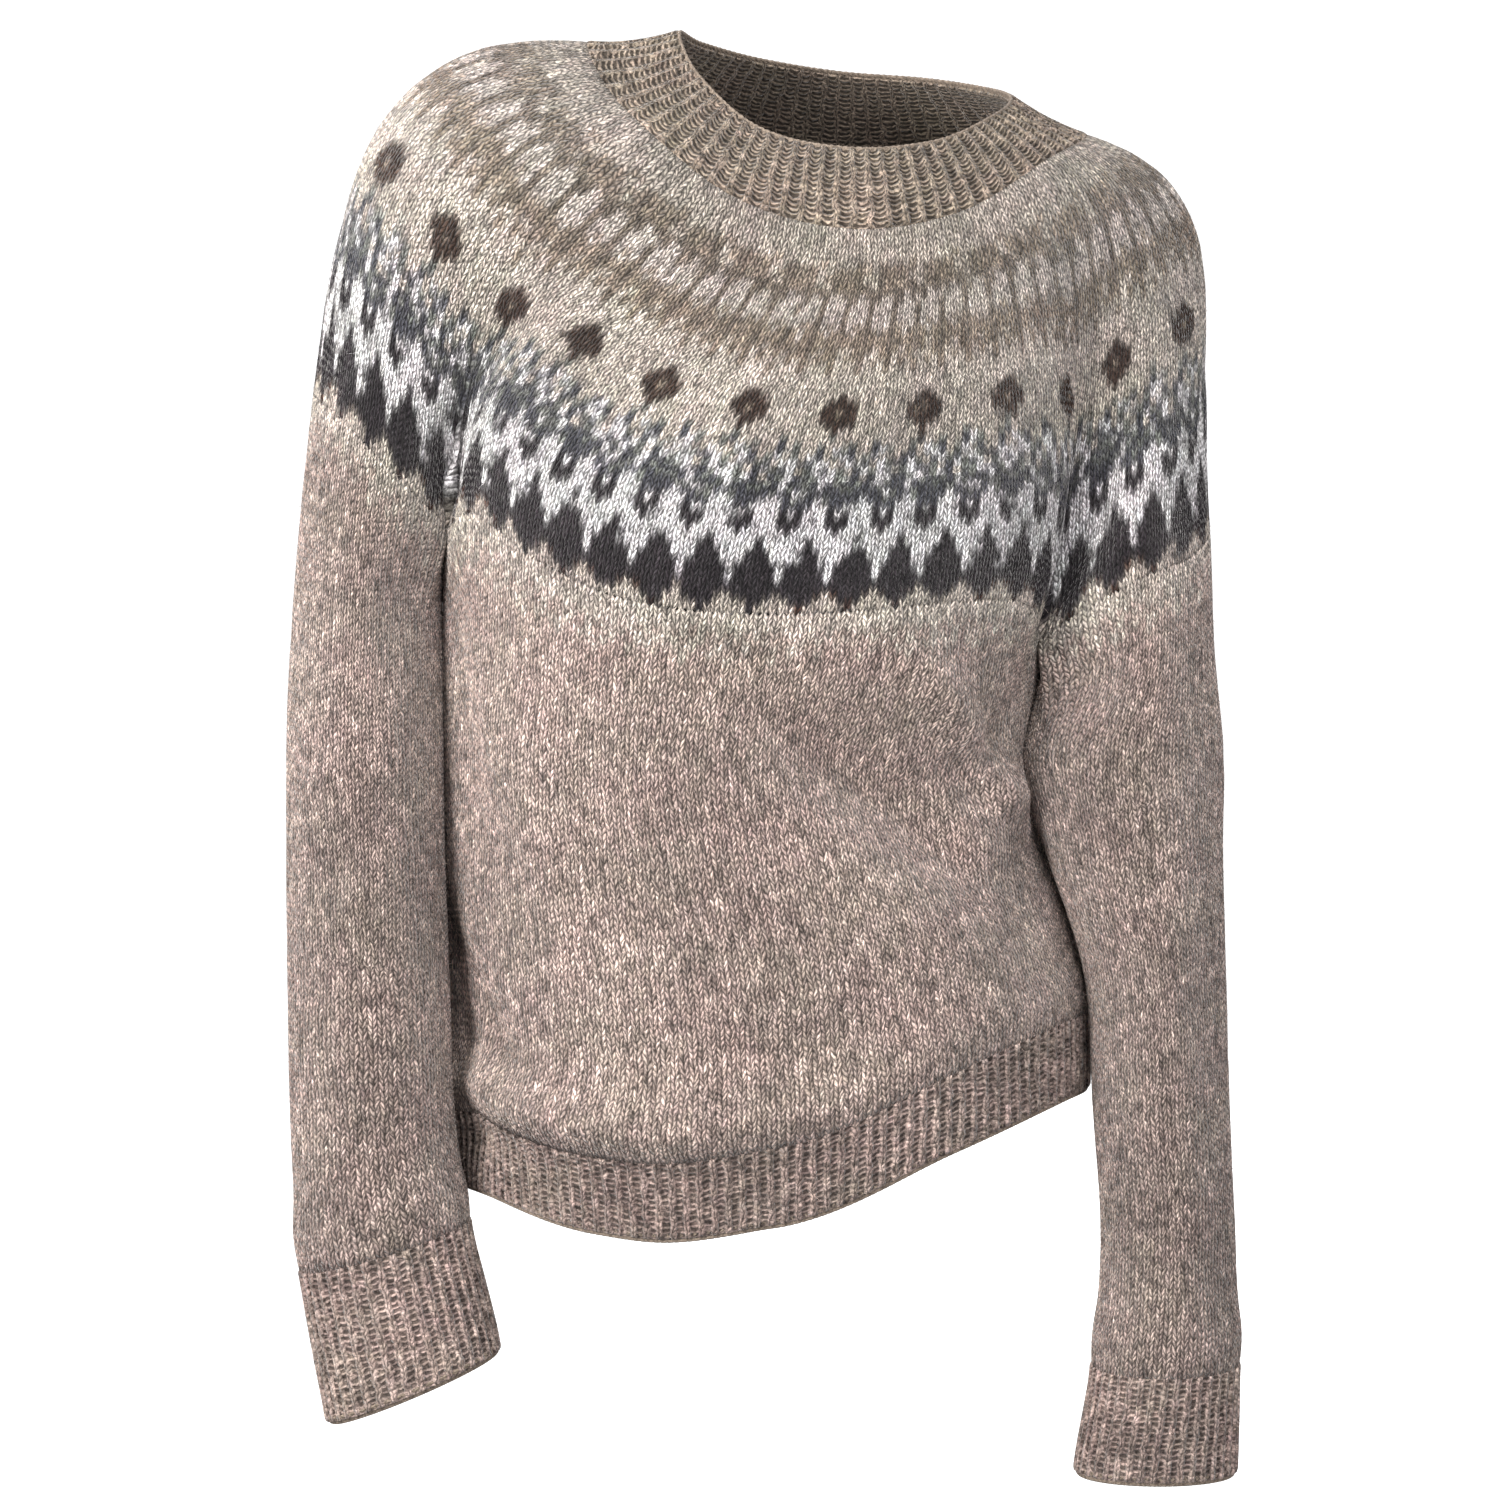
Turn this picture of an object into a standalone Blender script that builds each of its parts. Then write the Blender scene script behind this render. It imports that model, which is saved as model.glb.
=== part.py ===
"""Round-yoke sweater in the hollow shape that it has when worn.

The front faces -Y, +Z is up, and the origin lies in the middle of the neck opening.
Right and left are the wearer's: the right sleeve hangs at -X and the left one at +X.
Every piece is a tube of cloth with an outer and an inner wall, closed by rims at its two ends.
Angles go round a tube from 0 at the front through 90 at +X to 180 at the back.
The tables hold centimetres and degrees.
"""

import bpy
import numpy as np

CM = 0.01
CLOTH = 0.30  # thickness of the knitted cloth
SEAM_GAP = 0.03  # between two pieces at a seam
STEEP_GAP = 1.2  # share added to the gap where a seam runs straight down
ARMPIT_GAP = 0.15  # where yoke, body and sleeve meet
GAP_FADE = 0.65  # of that gap from one column to the next
RIB_PEAK = 0.09  # height of a knit rib over the cloth's middle surface
RIB_DIP = -0.07  # depth of the purl groove between two ribs

FRONT_COLUMNS = 30  # across the front, and again across the back
SLEEVE_COLUMNS = 22  # over the top of one sleeve
UNDERARM_COLUMNS = 4  # grafted together under one arm
NECK_RIBS = 78
FINE_SAMPLES = 161  # along each column before it is cut into rows
HEM_POINTS_PER_COLUMN = 4  # two ribs to each column of the body
CUFF_POINTS_PER_COLUMN = 3  # three half ribs to each column of a sleeve

BAND_ROWS = 2
YOKE_ROWS = 8
BODY_ROWS = 13
HEM_ROWS = 2
SLEEVE_ROWS = 15
CUFF_ROWS = 2

TAUPE = (0.42, 0.34, 0.28)
GREY_MIX = (0.34, 0.32, 0.31)
DARK_TAUPE = (0.33, 0.26, 0.21)
ROUGHNESS = 0.95

NECK_WIDTH = 8.6  # half the neck opening from side to side
NECK_DEPTH = 7.8  # half of it from front to back
ARMPIT = 77.0  # angle on the body where the grafted underarm begins, from the front
ARM_INSIDE = 63.0  # angle on the sleeve where it begins, from the front
HEM_HEIGHT = 3.9
BODY_RADIUS = 14.0  # turns angles into widths where folds are placed on the body
SLEEVE_RADIUS = 4.8  # and on the sleeves
SQUARENESS = 0.87  # power that flattens the body's oval a little
GRAFT_FADE = 4.5  # length over which a sleeve leaves the line of the underarm graft
GRAFT_SHARE = 0.25  # share of the sleeve's top that bends in towards the graft
CREASE = 3.0  # length over which the yoke already runs down towards the underarm
EASING = 8  # rounds of softening of the yoke's turn between front and sleeve, higher up


class Table:
    """Rows with named columns; at() gives a smooth value of a column between the rows."""

    def __init__(self, names, rows, period=None):
        rows = np.array(rows, float)
        if period:
            before, after = rows[-2:].copy(), rows[:2].copy()
            before[:, 0] -= period
            after[:, 0] += period
            rows = np.vstack([before, rows, after])
        self.names, self.rows, self.period = names.split(), rows, period

    def at(self, key, name):
        x, y = self.rows[:, 0], self.rows[:, self.names.index(name)]
        key = np.asarray(key, float)
        if self.period:
            key = (key - self.rows[2, 0]) % self.period + self.rows[2, 0]
        slope = np.gradient(y, x)
        i = np.clip(np.searchsorted(x, key, side="right") - 1, 0, len(x) - 2)
        step = x[i + 1] - x[i]
        t = np.clip((key - x[i]) / step, 0.0, 1.0)
        rise = t * t * (3 - 2 * t)
        near = t * (1 - t) ** 2 * step * slope[i]
        far = t * t * (t - 1) * step * slope[i + 1]
        return y[i] * (1 - rise) + y[i + 1] * rise + near + far


# The neck edge and the start of each line of stitches that runs from it down to the underarms:
# height of the edge, run outwards and drop of the neckband, slope of the yoke where it begins,
# and how far the cloth keeps its direction at the top and at the bottom of the yoke.
NECK = Table(
    "angle edge run drop slope upper lower",
    [
        (0, -4.8, 2.4, 4.0, 70, 5.5, 8.5),
        (30, -4.4, 2.6, 3.5, 62, 5.5, 8.5),
        (60, -2.9, 3.3, 2.1, 38, 6.5, 10.0),
        (90, -1.7, 3.8, 1.9, 17, 10.0, 11.5),
        (120, -0.9, 3.7, 2.3, 34, 8.0, 10.0),
        (150, -0.2, 3.0, 3.2, 56, 5.5, 8.0),
        (180, 0.2, 2.5, 3.8, 64, 5.0, 8.0),
        (210, 0.8, 3.1, 3.2, 52, 6.0, 8.5),
        (240, 1.4, 4.0, 1.9, 20, 10.5, 10.0),
        (270, 1.6, 4.6, 0.5, -5, 13.6, 9.5),
        (300, -1.0, 4.2, 1.8, 18, 10.5, 9.5),
        (330, -3.8, 3.0, 3.4, 56, 6.5, 8.5),
    ],
    period=360.0,
)

# The body: its two sides, and its depth in front of and behind the line through the neck.
BODY = Table(
    "level right_side left_side front back",
    [
        (-60, -19.8, 12.3, 11.7, 11.2),
        (-56, -20.2, 12.6, 12.0, 11.3),
        (-50, -20.6, 12.8, 12.2, 11.2),
        (-45, -20.7, 12.2, 12.0, 10.6),
        (-40, -20.8, 10.5, 11.9, 10.2),
        (-35, -20.8, 9.3, 12.1, 10.2),
        (-31, -20.8, 10.1, 12.4, 10.5),
        (-27, -20.7, 11.0, 12.5, 10.9),
        (-23, -20.6, 11.3, 12.3, 11.1),
        (-18, -20.7, 11.3, 11.9, 11.1),
    ],
)

# Height of the seam between yoke and body, with the grafted underarms at 90 and 270.
BODY_TOP = Table(
    "angle height",
    [
        (0, -27.6),
        (20, -27.4),
        (40, -27.1),
        (60, -27.5),
        (77, -29.4),
        (90, -29.8),
        (103, -29.2),
        (120, -26.8),
        (140, -25.3),
        (160, -24.4),
        (180, -23.7),
        (200, -22.9),
        (220, -22.1),
        (240, -21.9),
        (257, -23.4),
        (270, -24.0),
        (283, -23.8),
        (300, -22.9),
        (320, -25.0),
        (340, -26.9),
    ],
    period=360.0,
)

# Height of the lower edge of the hem, which the hip at +X lifts.
HEM_EDGE = Table(
    "angle height",
    [
        (0, -57.8),
        (30, -54.3),
        (60, -52.5),
        (90, -52.6),
        (120, -52.8),
        (150, -53.7),
        (180, -55.2),
        (210, -56.6),
        (240, -57.5),
        (270, -57.6),
        (300, -57.3),
        (330, -58.4),
        (345, -58.6),
    ],
    period=360.0,
)

# The sleeves: middle, half width and half depth of each section, and its lean to the side.
SLEEVES = {
    "right": Table(
        "level x y width depth lean",
        [
            (-68, -21.8, -7.4, 4.4, 2.4, 0.42),
            (-67, -22.0, -7.1, 4.4, 2.6, 0.42),
            (-60, -23.5, -6.0, 4.3, 3.5, 0.30),
            (-54, -24.1, -5.4, 4.15, 4.2, 0.12),
            (-48, -24.3, -4.8, 4.1, 4.6, 0.03),
            (-40, -24.5, -3.9, 4.0, 5.0, 0.0),
            (-32, -24.65, -2.4, 3.85, 5.5, 0.0),
            (-24, -24.45, -0.3, 3.65, 6.0, 0.0),
            (-16, -23.55, 0.0, 3.65, 6.1, 0.0),
            (-12, -22.95, 0.0, 3.7, 6.1, 0.0),
        ],
    ),
    "left": Table(
        "level x y width depth lean",
        [
            (-74, 15.6, -7.9, 4.15, 2.5, 0.0),
            (-71.3, 15.75, -7.6, 4.1, 2.6, 0.0),
            (-66, 16.3, -6.7, 3.7, 3.4, 0.02),
            (-60, 16.45, -6.0, 3.4, 4.2, 0.0),
            (-53, 16.1, -5.3, 3.45, 4.6, 0.0),
            (-46, 15.75, -4.7, 3.6, 4.8, 0.0),
            (-40, 14.75, -4.2, 4.45, 4.8, 0.0),
            (-35, 14.3, -3.2, 5.0, 5.1, 0.0),
            (-30, 15.1, -1.2, 3.9, 5.9, 0.0),
            (-24, 15.1, 0.0, 3.75, 6.1, 0.0),
            (-18, 14.45, 0.0, 3.8, 6.1, 0.0),
        ],
    ),
}
SLEEVE_TOP = {
    "right": Table(
        "angle height",
        [
            (117, -23.4),
            (150, -21.3),
            (180, -19.6),
            (210, -18.2),
            (240, -17.2),
            (270, -16.9),
            (300, -17.2),
            (330, -18.0),
            (360, -19.6),
            (390, -21.6),
            (423, -23.8),
        ],
    ),
    "left": Table(
        "angle height",
        [
            (-63, -29.4),
            (-30, -27.3),
            (0, -26.0),
            (30, -25.3),
            (60, -24.4),
            (90, -23.7),
            (120, -23.9),
            (150, -24.7),
            (180, -25.8),
            (210, -27.3),
            (243, -29.2),
        ],
    ),
}
CUFF_TOP = {"right": -60.0, "left": -66.0}
CUFF_END = {"right": -67.0, "left": -71.3}

# Soft folds, each from one place to another on its tube: a trough has a negative height.
FOLD_COLUMNS = "angle1 level1 angle2 level2 width height"
FOLDS = {
    "body": [
        (72, -30.0, 52, -36.5, 1.7, -0.75),
        (70, -34.0, 46, -39.5, 1.9, 0.40),
        (84, -38.5, 58, -42.0, 1.8, -0.45),
        (290, -27.5, 300, -36.0, 1.9, -0.40),
        (284, -45.0, 296, -54.0, 2.0, -0.60),
        (318, -50.5, 350, -53.0, 2.0, 0.22),
        (20, -46.0, 48, -50.5, 2.1, -0.20),
        (110, -32.0, 132, -37.5, 1.8, -0.60),
        (100, -37.5, 140, -41.0, 2.0, -0.45),
        (250, -28.0, 236, -37.0, 1.9, -0.45),
        (215, -44.0, 160, -46.5, 2.1, -0.30),
        (225, -50.0, 190, -52.0, 2.0, 0.25),
    ],
    "right": [
        (35, -27.0, 10, -33.0, 1.5, -0.30),
        (20, -38.0, 330, -41.5, 1.7, -0.35),
        (15, -44.0, 320, -46.0, 1.6, -0.25),
        (170, -36.0, 215, -40.0, 1.7, -0.40),
        (165, -42.5, 225, -45.0, 1.6, -0.35),
        (330, -52.5, 20, -55.0, 1.6, -0.25),
    ],
    "left": [
        (-38, -31.0, -5, -35.5, 1.5, -0.45),
        (-50, -37.5, 0, -41.0, 1.6, -0.35),
        (-30, -44.5, 30, -46.5, 1.7, -0.25),
        (200, -37.0, 150, -41.0, 1.7, -0.45),
        (205, -43.5, 140, -46.0, 1.6, -0.35),
        (-20, -58.0, 30, -60.5, 1.6, -0.22),
    ],
}


def unit(v):
    return v / np.maximum(np.linalg.norm(v, axis=-1, keepdims=True), 1e-9)


def fold_height(name, angle, level, radius):
    """Sum of the folds of a tube at an angle and a level, in centimetres outwards."""
    total = np.zeros(np.broadcast(angle, level).shape)
    for angle1, level1, angle2, level2, width, height in FOLDS[name]:
        turn = (angle - angle1 + 180.0) % 360.0 - 180.0
        span = (angle2 - angle1 + 180.0) % 360.0 - 180.0
        across, down = np.radians(turn) * radius, level - level1
        run, fall = np.radians(span) * radius, level2 - level1
        along = np.clip((across * run + down * fall) / (run**2 + fall**2), 0.0, 1.0)
        away = np.hypot(across - along * run, down - along * fall)
        total = total + height * np.exp(-((away / width) ** 2))
    return total


def body_point(angle, level):
    """A point of the body's outer surface."""
    angle, level = np.broadcast_arrays(np.asarray(angle, float), np.asarray(level, float))
    right, left = BODY.at(level, "right_side"), BODY.at(level, "left_side")
    s, c = np.sin(np.radians(angle)), np.cos(np.radians(angle))
    half = (left - right) / 2
    depth = np.where(c > 0, BODY.at(level, "front"), BODY.at(level, "back"))
    x = (left + right) / 2 + half * np.sign(s) * np.abs(s) ** SQUARENESS
    y = -depth * np.sign(c) * np.abs(c) ** SQUARENESS
    out = unit(np.stack([s / half, -c / depth, np.zeros_like(s)], -1))
    lift = fold_height("body", angle, level, BODY_RADIUS)
    return np.stack([x, y, level], -1) + out * lift[..., None]


def sleeve_point(side, angle, level):
    """A point of a sleeve's outer surface, before its top bends in towards the graft."""
    table = SLEEVES[side]
    angle, level = np.broadcast_arrays(np.asarray(angle, float), np.asarray(level, float))
    s, c = np.sin(np.radians(angle)), np.cos(np.radians(angle))
    width, depth = table.at(level, "width"), table.at(level, "depth")
    lift = fold_height(side, angle, level, SLEEVE_RADIUS)
    x = s * (width + lift)
    y = -c * (depth + lift)
    middle = np.stack([table.at(level, "x"), table.at(level, "y"), level], -1)
    return middle + np.stack([x, y, x * table.at(level, "lean")], -1)


def even_angles(start, end, count, point):
    """Angles that split a line on a surface into equal lengths."""
    fine = np.linspace(start, end, 400)
    length = np.linalg.norm(np.diff(point(fine), axis=0), axis=1)
    walked = np.concatenate([[0.0], np.cumsum(length)])
    return np.interp(np.linspace(0.0, walked[-1], count + 1), walked, fine)


def body_top_point(angle):
    return body_point(angle, BODY_TOP.at(angle, "height"))


def front_angles():
    return even_angles(-ARMPIT, ARMPIT, FRONT_COLUMNS, body_top_point)


def back_angles():
    return even_angles(180.0 - ARMPIT, 180.0 + ARMPIT, FRONT_COLUMNS, body_top_point)


def seam_gaps(ring, corners):
    """Gap along each column at a seam: more where the seam is steep or three pieces meet."""
    ahead = unit(np.roll(ring, -1, axis=0) - np.roll(ring, 1, axis=0))
    gaps = SEAM_GAP * (1 + STEEP_GAP * ahead[:, 2] ** 2)
    for corner in corners:
        for step in (-2, -1, 0, 1, 2):
            column = (corner + step) % len(gaps)
            gaps[column] = max(ARMPIT_GAP * GAP_FADE ** abs(step), gaps[column])
    return gaps


def graft_angles(side):
    """Angles of the underarm graft on the body, in the direction of rising angles."""
    middle = 90.0 if side == "left" else 270.0
    reach = 90.0 - ARMPIT
    return np.linspace(middle - reach, middle + reach, UNDERARM_COLUMNS + 1)


def sleeve_graft(side):
    """The underarm graft on the sleeve, a gap away from the same line on the body."""
    aside = 1.0 if side == "left" else -1.0
    return body_top_point(graft_angles(side)) + np.array([aside * SEAM_GAP, 0.0, 0.0])


def sleeve_seam(side):
    """Angles, levels and points of the seam between yoke and sleeve, armpit to armpit."""
    start = -ARM_INSIDE if side == "left" else 180.0 - ARM_INSIDE
    angles = np.linspace(start, start + 180.0 + 2 * ARM_INSIDE, SLEEVE_COLUMNS + 1)
    levels = SLEEVE_TOP[side].at(angles, "height")
    points = sleeve_point(side, angles, levels)
    graft = sleeve_graft(side)
    first, last = graft[0], graft[-1]
    t = np.linspace(0.0, 1.0, SLEEVE_COLUMNS + 1)
    near = np.clip(1 - t / GRAFT_SHARE, 0.0, 1.0) ** 2
    far = np.clip(1 - (1 - t) / GRAFT_SHARE, 0.0, 1.0) ** 2
    points = points + near[:, None] * (first - points[0])
    return angles, levels, points + far[:, None] * (last - points[-1])


def sleeve_ring(side):
    """Angles and points of the closed top ring of a sleeve: yoke seam, then underarm graft."""
    angles, _, points = sleeve_seam(side)
    inside = np.linspace(angles[-1], angles[0] + 360.0, UNDERARM_COLUMNS + 1)[1:-1]
    graft = sleeve_graft(side)[::-1][1:-1]
    return np.concatenate([angles, inside]), np.vstack([points, graft])


def sleeve_columns(side, share):
    """Points of a sleeve at shares of its length, from its top ring (0) to its cuff (1)."""
    angles, top = sleeve_ring(side)
    start = top[:, 2]
    bend = top - sleeve_point(side, angles, start)
    level = start + (CUFF_TOP[side] - start) * share[:, None]
    fade = np.clip(1 - (start - level) / GRAFT_FADE, 0.0, 1.0)
    fade = fade * fade * (3 - 2 * fade)
    return sleeve_point(side, angles, level) + fade[..., None] * bend


def body_angles():
    """Angles of the body's columns, from the right armpit round the front to the left one."""
    parts = [front_angles(), graft_angles("left"), back_angles(), graft_angles("right")]
    return np.concatenate([part[:-1] for part in parts])


def body_columns(angles, share):
    """Points of the body at shares of its length, from the yoke (0) to the hem's rib (1)."""
    top = BODY_TOP.at(angles, "height")
    low = HEM_EDGE.at(angles, "height") + HEM_HEIGHT
    return body_point(angles, top + (low - top) * share[:, None])


def neck_lines(angle):
    """Neck edge, seam of the neckband, and the yoke's direction there, for neck angles."""
    s, c = np.sin(np.radians(angle)), np.cos(np.radians(angle))
    edge = np.stack([NECK_WIDTH * s, -NECK_DEPTH * c, NECK.at(angle, "edge")], -1)
    out = unit(np.stack([s / NECK_WIDTH, -c / NECK_DEPTH, np.zeros_like(s)], -1))
    down = np.array([0.0, 0.0, -1.0])
    seam = edge + out * NECK.at(angle, "run")[:, None] + down * NECK.at(angle, "drop")[:, None]
    slope = np.radians(NECK.at(angle, "slope"))[:, None]
    return edge, seam, out * np.cos(slope) + down * np.sin(slope)


def yoke_edge():
    """Neck angles, points and downward directions of the yoke's lower edge."""
    columns = 2 * (FRONT_COLUMNS + SLEEVE_COLUMNS)
    ring, ahead = [], []
    start = np.array([0.0, 0.02])
    for angles, side in ((front_angles(), "left"), (back_angles(), "right")):
        body = body_columns(angles[:-1], start)
        ring.append(body[0])
        ahead.append(body[1] - body[0])
        sleeve = sleeve_columns(side, start)[:, :SLEEVE_COLUMNS]
        ring.append(sleeve[0])
        ahead.append(sleeve[1] - sleeve[0])
    neck = (np.arange(columns) - FRONT_COLUMNS / 2) * 360.0 / columns
    return neck, np.vstack(ring), unit(np.vstack(ahead))


def eased(ring):
    """The same ring with its sharp turns softened."""
    for _ in range(EASING):
        ring = (np.roll(ring, 1, axis=0) + 2 * ring + np.roll(ring, -1, axis=0)) / 4
    return ring


def yoke_columns(share):
    """Points of the yoke at shares of its depth, from the neckband (0) to the body (1)."""
    neck, low, ahead = yoke_edge()
    _, seam, start = neck_lines(neck)
    p1 = seam + start * NECK.at(neck, "upper")[:, None]
    p2 = eased(low - ahead * NECK.at(neck, "lower")[:, None])
    p3 = low - ahead * CREASE
    t = share[:, None, None]
    r = 1 - t
    return seam * r**4 + 4 * p1 * t * r**3 + 6 * p2 * t**2 * r**2 + 4 * p3 * t**3 * r + low * t**4


def neckband_columns(angles, share):
    """Points of the neckband, from the neck edge (0) to the yoke (1)."""
    edge, seam, start = neck_lines(angles)
    reach = np.linalg.norm(seam - edge, axis=1)[:, None]
    turn = seam - start * reach * 0.5
    t = share[:, None, None]
    return edge * (1 - t) ** 2 + 2 * turn * t * (1 - t) + seam * t * t


def densify(ring, points):
    """More points on each side of a closed ring, along straight lines, for rows of rings."""
    after = np.roll(ring, -1, axis=1)
    steps = np.arange(points) / points
    fine = ring[:, :, None] * (1 - steps[:, None]) + after[:, :, None] * steps[:, None]
    return fine.reshape(len(ring), -1, 3)


def grid_normals(grid):
    """Outward directions at the points of a tube whose rows run down and columns run round."""
    round_it = np.roll(grid, -1, axis=1) - np.roll(grid, 1, axis=1)
    down = np.gradient(grid, axis=0)
    return unit(np.cross(down, round_it))


def even_rows(grid, rows, above, below):
    """The same tube with its rows at equal distances, short of each end by half its gap."""
    length = np.linalg.norm(np.diff(grid, axis=0), axis=2)
    walked = np.vstack([np.zeros(grid.shape[1]), np.cumsum(length, axis=0)])
    out = np.empty((rows + 1, grid.shape[1], 3))
    for j in range(grid.shape[1]):
        total = walked[-1, j]
        at = np.linspace(above[j] / 2, total - below[j] / 2, rows + 1)
        for axis in range(3):
            out[:, j, axis] = np.interp(at, walked[:, j], grid[:, j, axis])
    return out


def add_tube(name, colour, fine_grid, rows, ribbed=False, above=None, below=None):
    """Make a piece from a finely sampled tube: an outer wall, an inner wall and two rims."""
    plain = np.full(fine_grid.shape[1], SEAM_GAP)
    above = plain if above is None else above
    below = plain if below is None else below
    base = even_rows(fine_grid, rows, above, below)
    # the ends of the walls are square to the cloth, so that neighbours keep their gap
    normal = grid_normals(base)
    for row, first, second in ((0, 0, 1), (-1, -2, -1)):
        ahead = unit(fine_grid[second] - fine_grid[first])
        flat = normal[row] - ahead * np.sum(normal[row] * ahead, axis=1, keepdims=True)
        normal[row] = unit(flat)
    inner = base - normal * CLOTH
    outer = base
    if ribbed:
        relief = np.where(np.arange(base.shape[1]) % 2 == 0, RIB_PEAK, RIB_DIP)
        outer = base + normal * relief[None, :, None]
    count = base.shape[1]
    points = np.vstack([outer.reshape(-1, 3), inner.reshape(-1, 3)]) * CM
    inside = outer.shape[0] * count
    faces = []
    for i in range(rows):
        for j in range(count):
            k = (j + 1) % count
            a, b, c, d = i * count + j, (i + 1) * count + j, (i + 1) * count + k, i * count + k
            faces.append((a, b, c, d))
            faces.append((inside + d, inside + c, inside + b, inside + a))
    last = rows * count
    for j in range(count):
        k = (j + 1) % count
        faces.append((j, k, inside + k, inside + j))
        faces.append((last + k, last + j, inside + last + j, inside + last + k))
    mesh = bpy.data.meshes.new(name)
    mesh.from_pydata(points.tolist(), [], faces)
    mesh.validate()
    mesh.shade_smooth()
    piece = bpy.data.objects.new(name, mesh)
    bpy.context.scene.collection.objects.link(piece)
    material = bpy.data.materials.new("wool_" + name)
    material.use_nodes = True
    shader = material.node_tree.nodes["Principled BSDF"]
    shader.inputs["Base Color"].default_value = (*colour, 1.0)
    shader.inputs["Roughness"].default_value = ROUGHNESS
    shader.inputs["Metallic"].default_value = 0.0
    material.diffuse_color = (*colour, 1.0)
    mesh.materials.append(material)
    return piece


def hem_columns(angles, share):
    """Points of the hem's rib, from the body (0) to its lower edge (1)."""
    low = HEM_EDGE.at(angles, "height")
    return body_point(angles, low + HEM_HEIGHT * (1 - share[:, None]))


def main():
    for old in list(bpy.data.objects):
        bpy.data.objects.remove(old, do_unlink=True)
    fine = np.linspace(0.0, 1.0, FINE_SAMPLES)

    neck_angles = np.arange(2 * NECK_RIBS) * 180.0 / NECK_RIBS
    band = neckband_columns(neck_angles, fine)
    add_tube("neckband", DARK_TAUPE, band, BAND_ROWS, True)
    half = FRONT_COLUMNS + SLEEVE_COLUMNS
    yoke = yoke_columns(fine)
    gaps = seam_gaps(yoke[-1], (0, FRONT_COLUMNS, half, half + FRONT_COLUMNS))
    add_tube("yoke", GREY_MIX, yoke, YOKE_ROWS, below=gaps)

    angles = body_angles()
    body = body_columns(angles, fine)
    half = FRONT_COLUMNS + UNDERARM_COLUMNS
    gaps = seam_gaps(body[0], (0, FRONT_COLUMNS, half, half + FRONT_COLUMNS))
    add_tube("body", TAUPE, body, BODY_ROWS, above=gaps)
    hem = densify(hem_columns(angles, fine), HEM_POINTS_PER_COLUMN)
    add_tube("hem_rib", DARK_TAUPE, hem, HEM_ROWS, True)

    for side in ("right", "left"):
        sleeve = sleeve_columns(side, fine)
        gaps = seam_gaps(sleeve[0], (0, SLEEVE_COLUMNS))
        add_tube("sleeve_" + side, TAUPE, sleeve, SLEEVE_ROWS, above=gaps)
        around, _ = sleeve_ring(side)
        levels = CUFF_TOP[side] + (CUFF_END[side] - CUFF_TOP[side]) * fine[:, None]
        cuff = densify(sleeve_point(side, around, levels), CUFF_POINTS_PER_COLUMN)
        add_tube("cuff_" + side, DARK_TAUPE, cuff, CUFF_ROWS, True)


main()
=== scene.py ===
"""Round-yoke wool sweater in the hollow shape that it has when worn, dressed stitch by stitch.

Each knitted piece is a tube of cloth made of rings of stitches, with an outer and an inner wall.
Geometry Nodes raise its stitches and ribs, and make its cast-off edges and loose fibres.
Right and left are the wearer's: the right sleeve hangs at -X and the left one at +X.
Angles go round a tube from 0 at the front through 90 at +X to 180 at the back.
The tables hold centimetres and degrees, and the settings metres.
"""

import bpy
import numpy as np
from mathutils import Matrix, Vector


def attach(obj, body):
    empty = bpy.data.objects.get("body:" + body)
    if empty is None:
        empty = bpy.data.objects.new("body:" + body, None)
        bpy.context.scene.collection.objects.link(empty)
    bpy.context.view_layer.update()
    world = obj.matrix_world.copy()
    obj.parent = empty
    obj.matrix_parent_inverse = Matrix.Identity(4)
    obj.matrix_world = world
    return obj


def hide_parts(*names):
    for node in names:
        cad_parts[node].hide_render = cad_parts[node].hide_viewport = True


bl_info = {
    "name": "Round-yoke sweater",
    "version": (1, 0, 0),
    "blender": (4, 5, 0),
    "location": "3D View > Sidebar > Sweater",
    "description": "Knits a round-yoke sweater over its frame, piece by piece",
    "category": "Add Mesh",
}

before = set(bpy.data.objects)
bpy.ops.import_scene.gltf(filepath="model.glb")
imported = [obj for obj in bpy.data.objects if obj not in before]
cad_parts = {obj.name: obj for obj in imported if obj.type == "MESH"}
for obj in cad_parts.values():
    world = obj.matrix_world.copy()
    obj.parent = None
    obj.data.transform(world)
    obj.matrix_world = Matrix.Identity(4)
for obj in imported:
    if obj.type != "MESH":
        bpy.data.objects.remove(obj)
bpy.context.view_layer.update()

CM = 0.01
GROUP = "root"

# Stitches round each piece, in knitting order
FRONT_STITCHES = 90
SLEEVE_STITCHES = 66
UNDERARM_STITCHES = 12
POINTS_PER_STITCH = 4
NECK_RIBS = 78
HEM_RIBS = 136
CUFF_RIBS = 39
BODY_COURSES = 82
NECK_COURSES = 16
HEM_COURSES = 14
CUFF_COURSES = {"right": 24, "left": 19}
# Points across one rib, as shares of it: the knit column first, then the purl groove
RIB_POINTS = (0.0, 0.09, 0.225, 0.36, 0.45, 0.725)
KNIT_MIDDLE = 0.225  # middle of the knit column
SECOND_LEG = 0.44  # from here on the points have the colour of the stitch's second leg
POINTS_PER_RIB = 12  # samples of the neckband's shape for each rib
STITCH_SLANT = 0.72  # rise of the legs to the sides, in courses, where the cloth itself is level
SEAM_LEAN = {0: 0.0, 1: 0.5}  # slant of the courses next to a change in the count of stitches

FINE_SAMPLES = 161
INNER_ROWS = 18

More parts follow.
